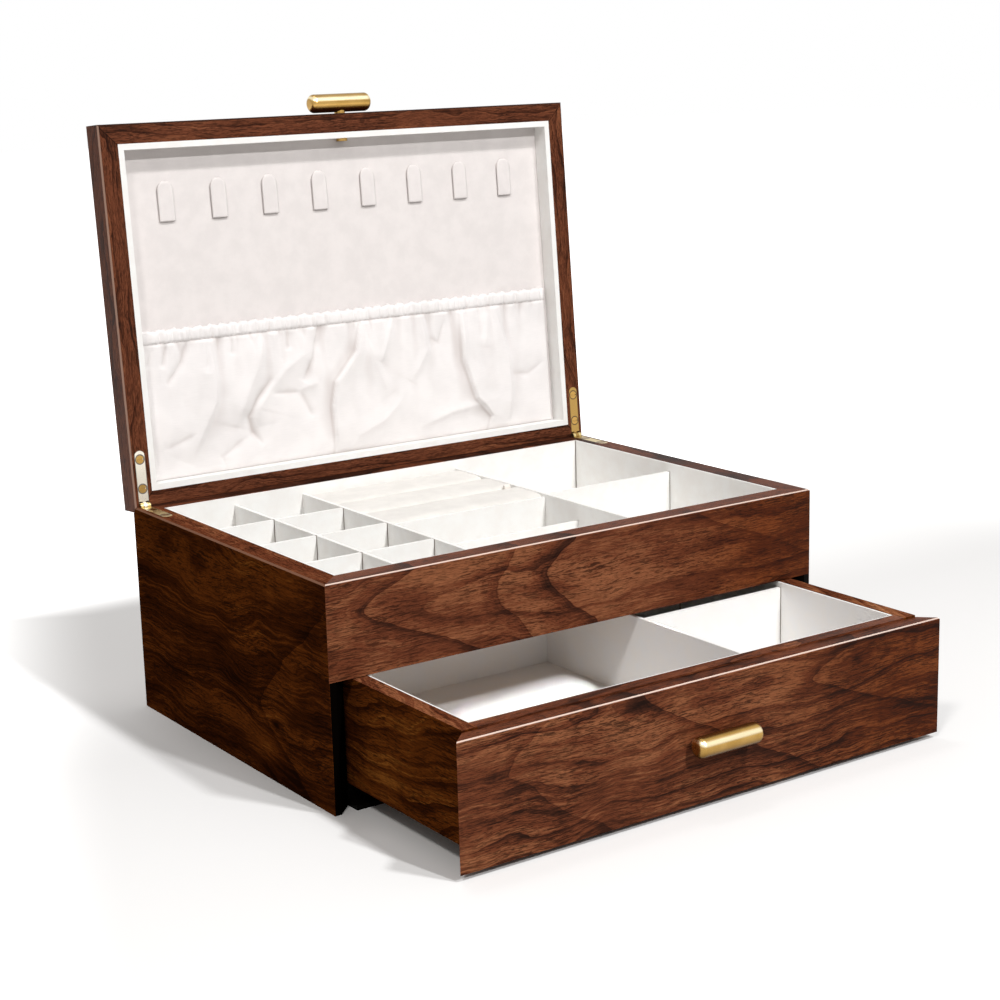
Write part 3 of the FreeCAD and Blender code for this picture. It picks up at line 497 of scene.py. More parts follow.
def leaf_brass(name, along, screws, colour):
    """A hinge leaf's brass, with a dark joint round each screw head and painted shade of the gap along both
    its edges.
    """
    f = Finish(name)
    cell = f.place()
    xyz = f.split(cell)
    x = f.math("SUBTRACT", f.math("ABSOLUTE", xyz[0]), LEAF_X)
    # Painted shade of the gap along both edges of the leaf.
    dark = f.between(f.math("ABSOLUTE", x), 2.6, 2.95)
    for screw in screws:
        aside = f.math("SUBTRACT", xyz[AXES[along]], screw)
        away = f.math("SQRT", f.math("MULTIPLY_ADD", x, x, f.math("MULTIPLY", aside, aside)))
        dark = f.math("MAXIMUM", dark, f.between(f.off(away, SCREW_HEAD), 0.6, 0.25))
    lines = f.noise(f.stretched(cell, (2.5, 0.3, 0.3)), 1.0, 3.0, 0.7)
    colour = f.mix(f.math("MULTIPLY", dark, 0.85), tint(colour), tint("2a190b"))
    return f.surface(
        Base_Color=colour,
        Metallic=f.between(dark, 0.3, 0.9, 1.0, 0.3),
        Roughness=f.between(lines, 0.2, 0.8, 0.24, 0.4),
        Normal=f.bump(lines, 0.12, 0.00005),
    )


def plywood(name):
    """Thin plies, light and dark by turns, with straight fibre on the face."""
    f = Finish(name)
    cell = f.place()
    fibre = f.noise(f.stretched(cell, (0.05, 1.1, 1.1)), 1.0, 3.0, 0.6)
    slow = f.noise(f.stretched(cell, (0.01, 0.06, 0.06)), 1.0, 2.0)
    tone = f.math("MULTIPLY_ADD", fibre, 0.5, f.math("MULTIPLY", slow, 0.5))
    colour = f.ramp(tone, [(0.3, "8b6a4a"), (0.7, "b9946c")])
    return f.surface(Base_Color=colour, Roughness=0.62, Normal=f.bump(fibre, 0.2, 0.0001))


def satin(name, base):
    """Thin satin-faced cloth with a very fine weave that follows the surface."""
    f = Finish(name)
    coords = f.add("ShaderNodeUVMap", uv_map="cloth").outputs[0]
    xyz = f.split(coords)
    weft, warp = (f.math("SINE", f.math("MULTIPLY", way, 2 * math.pi / 0.55)) for way in xyz[:2])
    weave = f.math("MULTIPLY", weft, warp)
    slub = f.noise(f.stretched(coords, (0.15, 2.2, 1.0)), 1.0, 2.0)
    patches = f.noise(coords, 0.05, 2.0)
    tone = f.nudged(slub, 0.4, patches)
    light = tint(base)
    low = tuple(c * 0.94 for c in light[:3]) + (1,)
    shown = f.ramp(tone, [(0.3, low), (0.7, light)])
    # Running stitches: short raised threads along the casing's lower edge.
    along = f.math("FRACT", f.math("DIVIDE", xyz[0], 2.6))
    thread = f.between(f.off(along, 0.5), 0.34, 0.26)
    beside = f.between(f.off(xyz[1], CASING_STITCH), 0.5, 0.2)
    stitch = f.math("MULTIPLY", thread, beside)
    gap = f.math("SUBTRACT", beside, stitch, clamp=True)
    shown = f.mix(f.math("MULTIPLY", gap, 0.25), shown, tint("b9b0a8"))
    # Painted shade: the cloth's own hollows and sharpest creases are painted a little darker.
    hollow = f.add("ShaderNodeAttribute", attribute_name="hollow").outputs["Fac"]
    shown = f.mix(f.math("MULTIPLY", hollow, 0.33), shown, tint("ab9c96"))
    height = f.math("MULTIPLY_ADD", stitch, 2.0, f.math("MULTIPLY", weave, 0.2))
    return f.surface(
        Base_Color=shown,
        Roughness=0.62,
        Normal=f.bump(height, 0.35, 0.0001),
        Sheen_Weight=0.2,
        Sheen_Roughness=0.4,
        Specular_IOR_Level=0.35,
    )


def foam(name):
    """Open-celled foam: small round pits."""
    f = Finish(name)
    cell = f.place()
    cells = f.add("ShaderNodeTexVoronoi", {"Vector": cell, "Scale": 1.2}).outputs["Distance"]
    colour = f.ramp(cells, [(0.1, "b8b2a6"), (0.6, "e5e0d6")])
    return f.surface(Base_Color=colour, Roughness=0.9, Normal=f.bump(cells, 0.5, 0.0003))


# ---------------------------------------------------------------- shapes from grids


def box_of(node):
    """A node's lowest and highest corners in the frame, in millimetres."""
    return [[round(value / MM, 3) for value in corner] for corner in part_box(node)]


def mesh_of(name, points, faces, uv=None):
    """A smooth object at the origin: points in metres, arrays of faces, and a map for its cloth."""
    mesh = bpy.data.meshes.new(name)
    mesh.from_pydata(points.reshape(-1, 3).tolist(), [], [face for part in faces for face in part.tolist()])
    if uv is not None:
        layer = mesh.uv_layers.new(name="cloth")
        order = np.empty(len(mesh.loops), np.int32)
        mesh.loops.foreach_get("vertex_index", order)
        layer.data.foreach_set("uv", uv.reshape(-1, 2)[order].ravel().astype(np.float32))
    mesh.polygons.foreach_set("use_smooth", np.ones(len(mesh.polygons), bool))
    mesh.update()
    thing = bpy.data.objects.new(name, mesh)
    bpy.context.collection.objects.link(thing)
    return thing


def grid_faces(rows, columns, closed=False):
    """The four-cornered faces of a grid of points; closed joins the last column to the first."""
    index = np.arange(rows * columns).reshape(rows, columns)
    right = np.roll(index, -1, axis=1) if closed else index[:, 1:]
    left = index if closed else index[:, :-1]
    return np.stack([left[:-1], right[:-1], right[1:], left[1:]], axis=-1).reshape(-1, 4)


def from_lid(x, out, deep):
    """Points given in the lid's own measures, as they stand with the lid open.

    out is the way from the hinge line to the lid's free edge, deep is the way from the rim to
    the lid's outer face; both turn together through the open angle.
    """
    y = HINGE_Y - out * math.cos(OPEN_ANGLE) + deep * math.sin(OPEN_ANGLE)
    z = HINGE_Z + out * math.sin(OPEN_ANGLE) + deep * math.cos(OPEN_ANGLE)
    return np.stack([x + 0 * y, y, z], axis=-1) * MM


def dress(thing, material):
    thing.data.materials.clear()
    thing.data.materials.append(material)


def thicken(thing, thickness, offset=-1.0):
    """Gives a sheet its two faces."""
    wall = thing.modifiers.new("wall", "SOLIDIFY")
    wall.thickness = thickness * MM
    wall.offset = offset


# ---------------------------------------------------------------- the lid's pocket

# Each fold: how far it stands off, how wide its left and right slopes are, and its line as
# (x, out) points from its top end to its foot.
FOLDS = [
    (2.3, 13.0, 3.4, [(-94.4, 82), (-92.6, 62), (-94.6, 49.8), (-104, 33), (-112.1, 18)]),
    (2.2, 9.0, 6.0, [(-61, 82), (-66.7, 66), (-73.6, 54), (-79, 43), (-82, 34)]),
    (-1.9, 2.6, 3.4, [(-58.8, 58), (-68.5, 48), (-74.1, 38.9), (-71.9, 30.2), (-65.4, 22)]),
    (1.5, 4.5, 7.0, [(-36, 70), (-49.6, 62.6), (-59, 53), (-68, 43), (-67, 33)]),
    (-1.7, 2.2, 3.6, [(-26.9, 83), (-30.8, 66.2), (-37.7, 54.2)]),
    (-0.9, 1.5, 2.0, [(-57.2, 50.1), (-40.6, 48.9)]),
    (-0.9, 1.6, 2.4, [(-40.6, 49.4), (-36.5, 42), (-33.2, 33.7)]),
    (0.8, 2.0, 3.0, [(-40.5, 50.2), (-28, 53)]),
    (2.9, 1.5, 15.0, [(1.4, 82), (-2.6, 67.5), (-17.0, 52), (-20.3, 38), (-20.3, 27.9), (-19.2, 8)]),
    (1.3, 3.0, 5.0, [(4.2, 76), (10.4, 55.8), (17.5, 40.4)]),
    (1.5, 4.0, 3.0, [(23, 83), (18.7, 72.3), (12.7, 60)]),
    (1.4, 6.0, 3.2, [(43.1, 79), (45.5, 63.7), (33.7, 46)]),
    (2.9, 1.5, 11.0, [(70.6, 82), (70.3, 55), (77.4, 31.8), (89.0, 19.8), (86.4, 8)]),
    (1.6, 5.0, 2.4, [(79.6, 27.3), (59.6, 24.9), (38, 19)]),
    (1.1, 3.0, 3.0, [(89.6, 82), (86.4, 61)]),
    (1.9, 9.0, 2.6, [(96.8, 78), (102.6, 51.3), (103.2, 36.1), (100.6, 12)]),
    (-0.8, 2.0, 3.0, [(106.6, 42.4), (117.7, 41.5), (131, 48.5)]),
    (-1.1, 2.0, 3.0, [(-78, 27), (-91.7, 18.8), (-87.9, 9)]),
    (-0.8, 2.4, 3.0, [(-107, 33.6), (-127, 27)]),
    (1.2, 5.0, 4.0, [(26, 37), (12.8, 26.4), (-4.8, 19.9), (-11, 9)]),
    (-1.0, 1.4, 1.6, [(-119.7, 84), (-123.8, 71)]),
    (-1.1, 1.2, 1.8, [(-95.9, 84), (-98.1, 66)]),
    (-0.9, 1.3, 1.6, [(-80.4, 84), (-81.2, 74)]),
    (-1.2, 1.5, 2.0, [(-107.3, 84), (-112, 74), (-121.7, 62)]),
    (-1.0, 1.3, 1.6, [(-127.7, 84), (-131.8, 72)]),
    (-1.1, 1.2, 1.4, [(-45.2, 84), (-46.1, 73)]),
    (-0.8, 1.5, 2.0, [(58.9, 80), (53.7, 67.2), (48, 71)]),
]


def to_line(x, y, line):
    """How far each point lies from a bent line, below nought on its left, and its share along it."""
    line = np.asarray(line, float)
    far = np.full(x.shape, 1e9)
    along = np.zeros(x.shape)
    runs = np.hypot(*(line[1:] - line[:-1]).T)
    for k, length in enumerate(runs):
        step = (line[k + 1] - line[k]) / length
        t = np.clip((x - line[k, 0]) * step[0] + (y - line[k, 1]) * step[1], 0, length)
        aside = (x - line[k, 0]) * -step[1] + (y - line[k, 1]) * step[0]
        d = np.hypot(x - line[k, 0] - t * step[0], y - line[k, 1] - t * step[1])
        nearer = d < np.abs(far)
        far = np.where(nearer, np.where(aside < 0, -d, d), far)
        along = np.where(nearer, (runs[:k].sum() + t) / runs.sum(), along)
    return far, along


def waves(x, y, rng, count, longest, shortest):
    """A sum of slow sine waves that run in chance directions, as high as 1 in all."""
    total = np.zeros_like(x)
    for _ in range(count):
        turn, phase = rng.uniform(0, 2 * math.pi, 2)
        pitch = rng.uniform(shortest, longest)
        total += np.sin(2 * math.pi * (x * math.cos(turn) + y * math.sin(turn)) / pitch + phase)
    return total / count


def blurred(height, reach):
    """A grid smoothed by the mean of its neighbours, reach points each way, twice over."""
    for _ in range(2):
        for axis in (0, 1):
            edges = [(reach, reach) if k == axis else (0, 0) for k in (0, 1)]
            total = np.cumsum(np.pad(height, edges, mode="edge"), axis=axis)
            total = np.insert(total, 0, 0, axis=axis)
            size = 2 * reach + 1
            last = np.take(total, np.arange(size, total.shape[axis]), axis=axis)
            first = np.take(total, np.arange(0, total.shape[axis] - size), axis=axis)
            height = (last - first) / size
    return height


def bell(away, reach):
    """1 in the middle, falling away on both sides as a bell within a reach."""
    return np.exp(-((away / reach) ** 2))


def long_folds(x, out):
    """The folds' height, and the painted shade for the sharpest ones.

    Each fold falls away from its line as a decaying power, steeply on one side and gently on the
    other, rises just below its top end and dies away towards its foot.
    """
    folds = np.zeros_like(x)
    crease = np.zeros_like(x)
    for stands, left, right, line in FOLDS:
        aside, along = to_line(x, out, line)
        wide = np.where(aside < 0, left, right)
        soft = np.sqrt((aside / wide) ** 2 + (0.45 / wide) ** 2)
        taper = np.clip((1 - along) / 0.22, 0, 1) * np.clip(0.35 + along / 0.3, 0, 1)
        folds += 1.2 * stands * taper**0.7 * np.exp(-soft)
        if stands > 2 and min(left, right) < 2:
            crease += taper**0.5 * bell(aside + 1.5, 0.8)
    return folds, crease


def add_gathers(folds, x, out, drop, rng):
    """Adds short gathers of chance size below the casing, low ripples, and drapes that die downwards."""
    for _ in range(60):
        start = rng.uniform(-131, 131)
        reach = rng.uniform(5, 17)
        lean = rng.uniform(-0.3, 0.3)
        aside, along = to_line(x, out, [(start, 86), (start + lean * reach, 86 - reach)])
        folds += rng.uniform(-0.8, 0.6) * (1 - along) * bell(aside, rng.uniform(0.8, 1.5))
    folds += 0.16 * waves(x, out * 0.6, rng, 12, 17, 6)
    wander = 2.5 * np.sin(x / 17 + out / 31)
    for pitch, size in ((9.7, 0.34), (13.9, 0.42), (22.0, 0.4)):
        phase = rng.uniform(0, 6)
        folds += size * drop * np.sin(2 * math.pi * (x + wander) / pitch + phase)


def casing_puckers(x, rng):
    """Upright puckers of four pitches, crowded and spread by a slow wave."""
    puckers = np.zeros_like(x)
    for pitch, size in ((2.7, 0.22), (3.9, 0.34), (6.7, 0.4), (11.3, 0.3)):
        puckers += size * np.sin(2 * math.pi * x / pitch + rng.uniform(0, 6) + 0.8 * np.sin(x / 9))
    return puckers


def pocket_cloth():
    """The gathered pocket: cloth that stands off the lid's board, drawn in by an elastic casing.

    Its height off the board is a plateau that falls away to its two sides and its foot, plus its
    folds and gathers, plus fine puckers that die away below the casing. The casing is a half-round
    tube with a scalloped top, past which the cloth turns over and runs back down inside.
    """
    across, down = 384, 126
    turn_in, hem_radius = 8, 0.8
    rng = np.random.default_rng(11)
    half = box_of("elastic_pocket")[1][0] - 0.2
    u = np.linspace(-half, half, across)[None, :]
    t = np.linspace(0, 1, down)[:, None] * (CASING_TOP + turn_in)
    x = u + 0 * t
    run = t + 0 * u
    top = CASING_TOP - 0.9
    out = POCKET_FOOT + np.minimum(run, top)
    side = 1 - np.exp(-(half - np.abs(x)) / 2.6)
    foot = 1 - np.exp(-(run + 0.3) / 5.0)
    plateau = 0.5 + (2.8 + 1.2 * waves(x, out, rng, 7, 70, 30)) * side * foot
    folds, crease = long_folds(x, out)
    below = np.maximum(CASING_STITCH - run, 0)
    add_gathers(folds, x, out, np.exp(-below / 19.0), rng)
    folds *= 1 / (1 + np.exp((run - CASING_STITCH + 0.6) / 0.45))
    puckers = casing_puckers(x, rng) * np.exp(-below / 4.0)
    middle = (run - (CASING_STITCH + CASING_TOP) / 2) / ((CASING_TOP - CASING_STITCH) / 2)
    tube = np.sqrt(np.clip(1 - middle**2, 0, 1))
    high = plateau + (folds * foot + puckers * (0.35 + 0.65 * tube)) * side
    high -= 0.55 * bell(run - CASING_STITCH, 0.5)
    high += 0.9 * tube * side
    turned = np.clip(run - CASING_TOP, 0, turn_in)
    over = np.minimum(turned / (2 * hem_radius), 1) * math.pi
    high = np.where(run > CASING_TOP, high - hem_radius * (1 - np.cos(over)), high)
    inside = POCKET_FOOT + top + hem_radius * np.sin(over) - np.maximum(turned - 2 * hem_radius, 0)
    out = np.where(run > CASING_TOP, inside, out)
    scallop = 0.5 * np.sin(2 * math.pi * x / 7.3 + 1.2 * np.sin(x / 13))
    scallop += 0.25 * np.sin(2 * math.pi * x / 3.1)
    out = out + scallop * side * np.clip((run - CASING_STITCH) / 5, 0, 1)
    high = np.clip(high, 0.3, 8.6)
    # Painted shade for the satin: how far each point lies below its neighbours, and the sharpest creases.
    hollow = np.clip((blurred(high, 6) - high - 0.06) / 0.7 + 1.2 * crease, 0, 1.6)
    uv = np.stack([x * 1.1, run], axis=-1)
    points = from_lid(x, out, BOARD_FACE - high)
    cloth = mesh_of("pocket_cloth", points, [grid_faces(down, across)[:, ::-1]], uv)
    shade = cloth.data.attributes.new("hollow", "FLOAT", "POINT")
    shade.data.foreach_set("value", np.where(run > CASING_TOP, 0, hollow).ravel().astype(np.float32))
    thicken(cloth, 0.4)
    dress(cloth, satin("pocket satin", "f1edec"))
    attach(cloth, "lid")
    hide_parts("elastic_pocket", "pocket_elastic")


# ---------------------------------------------------------------- the ring rolls

# A roll's cloth stands in from its node's low and high corners by this, and its crown stands proud.
ROLL_IN_LOW = (0.1, 0.1, 0.05)
ROLL_IN_HIGH = (-0.05, -0.1, 0.3)


def ring_roll(index, material):
    """A padded roll: round-cornered across its section, drawn in a little between its ends.

    The section is a square power curve, flat below where it rests; its height swells by a slow
    wave along the roll and its two ends close in round shoulders, each shut by a fan of
    triangles about its middle.
    """
    along, around = 90, 64
    low, high = box_of(f"ring_roll_{index}")
    left, front, foot = (place + inset for place, inset in zip(low, ROLL_IN_LOW))
    right, back, crown = (place + inset for place, inset in zip(high, ROLL_IN_HIGH))
    s = np.linspace(-1, 1, along)[:, None]
    turn = np.linspace(0, 2 * math.pi, around, endpoint=False)[None, :]
    c, n = np.cos(turn), np.sin(turn)
    wide = np.sign(c) * np.abs(c) ** 0.36
    tall = np.sign(n) * np.abs(n) ** np.where(n > 0, 0.4, 0.3)
    shoulder = (1 - np.abs(s) ** 90) ** (1 / 4)
    swell = 1 + 0.012 * np.sin(5.1 * s + index) + 0.01 * np.sin(11.3 * s + 2 * index)
    x = (left + right) / 2 + (right - left) / 2 * s + 0 * turn
    y = (front + back) / 2 + (back - front) / 2 * wide * (0.98 + 0.02 * shoulder)
    base = foot + (crown - foot) * 0.42
    rise = np.where(tall > 0, (crown - base) * tall * swell, (base - foot) * tall)
    z = base + rise * (0.985 + 0.015 * shoulder)
    points = np.stack([x, y + 0 * s, z], axis=-1) * MM
    count = along * around
    middles = np.array([points[0].mean(0), points[-1].mean(0)])
    ring = np.arange(around)
    following = np.roll(ring, -1)
    first = np.stack([ring, np.full(around, count), following], axis=-1)
    start = count - around
    last = np.stack([ring + start, following + start, np.full(around, count + 1)], axis=-1)
    faces = [part[:, ::-1] for part in (grid_faces(along, around, closed=True), first, last)]
    roll = mesh_of(f"roll_{index}", np.concatenate([points.reshape(-1, 3), middles]), faces)
    dress(roll, material)
    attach(roll, "case")
    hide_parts(f"ring_roll_{index}")


# The pull ribbon: how far its foot and its top lie in from its node's, and its loop's radius.
RIBBON_FOOT_IN = 4.0
RIBBON_TOP_IN = 0.4
RIBBON_RADIUS = 1.1


def pull_ribbon(material):
    """A short loop of ribbon: its line rises, turns over in a half circle and comes back down."""
    across, along = 9, 60
    (left, front, foot), (right, back, top) = box_of("ring_roll_ribbon")
    foot += RIBBON_FOOT_IN
    top -= RIBBON_TOP_IN
    wide = right - left
    t = np.linspace(0, 1, along)[:, None]
    u = np.linspace(-wide / 2, wide / 2, across)[None, :]
    turn = math.pi * t
    x = (left + right) / 2 + u + 0 * t
    y = (front + back) / 2 - RIBBON_RADIUS * np.cos(turn) * (0.25 + 0.75 * np.sin(turn)) + 0 * u
    z = foot + (top - foot) * np.sin(turn) ** 0.6 + 0.15 * np.cos(u) + 0 * t
    points = np.stack([x, y, z], axis=-1) * MM
    uv = np.stack([x, t * 22 + 0 * u], axis=-1)
    ribbon = mesh_of("roll_ribbon", points, [grid_faces(along, across)], uv)
    thicken(ribbon, 0.25, 0.0)
    dress(ribbon, material)
    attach(ribbon, "case")
    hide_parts("ring_roll_ribbon")


# ---------------------------------------------------------------- the necklace tabs

TAB_COUNT = 8
TAB_PITCH = 31.6
TAB_WIDE = 9.0
TAB_FOOT = 149.6
TAB_HEAD = 170.8


def necklace_tabs(material):
    """A row of cloth tabs: a strip with a square foot and a round head, crowned across its width."""
    across, along = 15, 34
    u = np.linspace(-1, 1, across)[None, :]
    t = np.linspace(0, 1, along)[:, None]
    length = TAB_HEAD - TAB_FOOT
    radius = TAB_WIDE / 2
    run = length * t
    from_head = np.clip(run - (length - radius), 0, radius * 0.985)
    half = np.sqrt(np.maximum(radius**2 - from_head**2, 0))
    rise = 0.95 - 0.3 * np.abs(u) ** 6 - 0.2 * np.exp(-run / 0.8) - 0.3 * (from_head / radius) ** 8
    out = TAB_FOOT + run + 0 * u
    points, faces, maps = [], [], []
    for k in range(TAB_COUNT):
        middle = (k - (TAB_COUNT - 1) / 2) * TAB_PITCH
        x = middle + u * half
        points.append(from_lid(x, out, BOARD_FACE - rise))
        faces.append(grid_faces(along, across)[:, ::-1] + k * across * along)
        maps.append(np.stack([x - middle, run + 0 * u], axis=-1))
    tabs = mesh_of("cloth_tabs", np.array(points), faces, np.array(maps))
    thicken(tabs, 0.6)
    dress(tabs, material)
    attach(tabs, "lid")
    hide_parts("necklace_tabs")


# ---------------------------------------------------------------- the room

CAMERA_PLACE = (-580.8, -871.8, 352.3)
CAMERA_TURN = (34.5, 12.997, -1.478)  # yaw to the right, pitch down and roll, in degrees
LENS = 72.06

# Each round lamp: its name, its place, what it faces, its size in metres, its watts and its colour.
LAMPS = [
    ("key", (0.42, -1.2, 2.07), (0, -0.05, 0.1), 0.18, 21.5, (1, 1, 1)),
    ("front", (0.19, -1.82, 1.43), (0, -0.05, 0.05), 0.1, 20.5, (1, 1, 1)),
    ("left", (-1.15, -1.0, 1.75), (0, -0.05, 0.1), 0.3, 12, (1, 0.97, 0.94)),
    ("overhead", (0, 0.35, 2.2), (0, -0.05, 0.1), 0.4, 3, (1, 1, 1)),
]


def camera():
    """A camera at eye height left of the box's front, looking down a little and across it."""
    yaw, pitch, roll = (math.radians(a) for a in CAMERA_TURN)
    look = Vector((math.sin(yaw) * math.cos(pitch), math.cos(yaw) * math.cos(pitch), -math.sin(pitch)))
    right = Vector((math.cos(yaw), -math.sin(yaw), 0))
    up = right.cross(look)
    turned = right * math.cos(roll) + up * math.sin(roll)
    upright = up * math.cos(roll) - right * math.sin(roll)
    lens = bpy.data.cameras.new("camera")
    lens.lens = LENS
    lens.sensor_width = 36
    lens.clip_start = 0.05
    eye = bpy.data.objects.new("camera", lens)
    bpy.context.collection.objects.link(eye)
    frame_of = Matrix((turned, upright, -look)).transposed().to_4x4()
    frame_of.translation = Vector(CAMERA_PLACE) * MM
    eye.matrix_world = frame_of
    bpy.context.scene.camera = eye


def lamp(name, place, aim, size, power, colour=(1, 1, 1)):
    """A round soft lamp at one place in metres, turned to face another."""
    data = bpy.data.lights.new(name, "AREA")
    data.shape = "DISK"
    data.size = size
    data.energy = power
    data.color = colour
    light = bpy.data.objects.new(name, data)
    light.location = place
    light.rotation_euler = (Vector(aim) - Vector(place)).to_track_quat("-Z", "Y").to_euler()
    light.visible_camera = True
    bpy.context.collection.objects.link(light)
    return light


def low_beam():
    """A flat slit lamp, not seen itself, whose light passes over the drawer's front, under the apron."""
    light = lamp("low beam", (0.0, -0.406, 0.278), (-0.03, -0.131, 0.064), 0.13, 0.0125)
    light.data.shape = "RECTANGLE"
    light.data.size_y = 0.012
    light.data.spread = math.radians(3)
    light.visible_camera = False


def floor():
    """A white floor that keeps the shadow near the box and is plain white away from it."""
    size = 6.0
    corners = np.array([[-size, -size, 0], [size, -size, 0], [size, size, 0], [-size, size, 0]], float)
    thing = mesh_of("floor", corners, [np.array([[0, 1, 2, 3]])])
    f = Finish("floor white")
    path = f.add("ShaderNodeLightPath")
    seen = f.math("MAXIMUM", path.outputs["Is Camera Ray"], path.outputs["Is Glossy Ray"])
    far = f.add("ShaderNodeVectorMath", {0: f.place()}, operation="LENGTH").outputs["Value"]
    side, behind, _ = f.split(f.place())
    aside = f.math("MULTIPLY_ADD", side, -0.923, f.math("MULTIPLY", behind, 0.385))
    clear = f.math("MAXIMUM", f.between(far, 450.0, 1000.0), f.between(behind, 285.0, 345.0))
    clear = f.math("MAXIMUM", clear, f.between(aside, 195.0, 325.0))
    dim = f.between(behind, 20.0, 160.0, 0.0, 0.2)
    plain = f.mix(seen, (0.42, 0.42, 0.42, 1), (0.9, 0.9, 0.9, 1))
    matt = f.add("ShaderNodeBsdfDiffuse", {"Color": plain}).outputs[0]
    white = f.math("MULTIPLY", seen, f.math("MULTIPLY_ADD", clear, 0.9, dim))
    lift = f.add("ShaderNodeEmission", {"Color": (1, 1, 1, 1), "Strength": white}).outputs[0]
    both = f.add("ShaderNodeAddShader", {0: matt, 1: lift}).outputs[0]
    f.tree.links.new(both, f.out.inputs[0])
    dress(thing, f.material)
    thing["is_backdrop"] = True


def white_room():
    """A world that is white where it is seen or mirrored, and a faint warm fill for the rest."""
    world = bpy.data.worlds.new("white room")
    world.use_nodes = True
    tree = world.node_tree
    tree.nodes.clear()
    new, join = tree.nodes.new, tree.links.new
    path = new("ShaderNodeLightPath")
    seen, clear = new("ShaderNodeMath"), new("ShaderNodeMath")
    seen.operation = clear.operation = "MAXIMUM"
    choose = new("ShaderNodeMixShader")
    out = new("ShaderNodeOutputWorld")
    for socket, colour, strength in ((1, (1, 0.965, 0.93, 1), 0.28), (2, (1, 1, 1, 1), 1.0)):
        shade = new("ShaderNodeBackground")
        shade.inputs["Color"].default_value = colour
        shade.inputs["Strength"].default_value = strength
        join(shade.outputs[0], choose.inputs[socket])
    join(path.outputs["Is Camera Ray"], seen.inputs[0])
    join(path.outputs["Is Glossy Ray"], seen.inputs[1])
    join(seen.outputs[0], clear.inputs[0])
    join(path.outputs["Is Transmission Ray"], clear.inputs[1])
    join(clear.outputs[0], choose.inputs[0])
    join(choose.outputs[0], out.inputs[0])
    bpy.context.scene.world = world


def room():
    """A white floor, white all round, and soft lamps above."""
    floor()
    white_room()
    for name, place, aim, size, power, colour in LAMPS:
        lamp(name, place, aim, size, power, colour)
    low_beam()
    bpy.context.scene.view_settings.view_transform = "Standard"


# ---------------------------------------------------------------- the whole box

# How each board differs from the usual look.
APRON_LOOK = {
    "arches": (
        (-130, 96, 1, 2.4, 0.42, 14),
        (-57, 93, 1, 1.1, 0.34, 9),
        (-24, 94, 1, 1.2, 0.5, 8),
        (72, 112, 1, 2.6, 0.22, 16),
    ),
    "knots": ((5, 93, 8, 0.09), (-122, 98, 7, 0.06)),
    "level": 0.635,
    "deepen": (15, 120),
    "glint": 111.5,
    "crown": 0.12,
    "worn_to": "e6cfc2",
}
# The left side is painted darker than the right, as painted shade.
LEFT_SIDE_LOOK = {
    "ring": 17,
    "stops": SHADED_WALNUT,
    "arches": ((-34, 40, -1, 1.3, 0.3, 14),),
    "knots": ((27, 96, 14, 0.22), (-48, 30, 7, 0.4)),
    "level": 0.66,
    "edge": 0.16,
    "streaks": 0.4,
    "grain": 0.22,
    "curl": 0.08,
    "cloudy": 0.7,
    "bend": 30,
    "sheen": 0.0,
    "crown": 0.12,
    "worn_to": "8a6450",
    "stain": SHADOW_GAP,
}
RIGHT_SIDE_LOOK = {"ring": 14, "arches": LEFT_SIDE_LOOK["arches"], "crown": 0.12, "stain": SHADOW_GAP}
BACK_LOOK = {"ring": 14, "arches": ((-20, 60, 1, 2, 0.3, 14),), "crown": 0.12}
DRAWER_FRONT_LOOK = {
    "ring": 9.5,
    "arches": ((-48, 64, 1, 2.0, 0.4, 8), (60, 50, 1, 2.8, 0.34, 14), (-120, 44, 1, 1.6, 0.25, 12)),
    "knots": ((-49, 58, 10, 0.32), (88, 54, 7, 0.15)),
    "level": 0.6,
    "streaks": 0.32,
    "curl": 0.22,
    "deepen": (0, 120),
    "glint": 63.0,
    "crown": 0.16,
    "worn_to": "e6cfc2",
}
# The rails' broken edges are painted dark as shade, and the left rail's pale as a painted highlight.
RAIL_LOOK = {"ring": 7, "stops": RED_WALNUT, "cloudy": 0.25, "worn_to": "2a140c", "mitre": True}
LIT_EDGE_RAIL_LOOK = RAIL_LOOK | {"worn_to": "a98a7a"}
DRAWER_SIDE_LOOK = {
    "ring": 9,
    "stops": SHADED_WALNUT,
    "level": 0.76,
    "streaks": 0.36,
    "grain": 0.28,
    "sheen": 0.0,
    "crown": 0.1,
    "worn_to": "8a5c40",
}


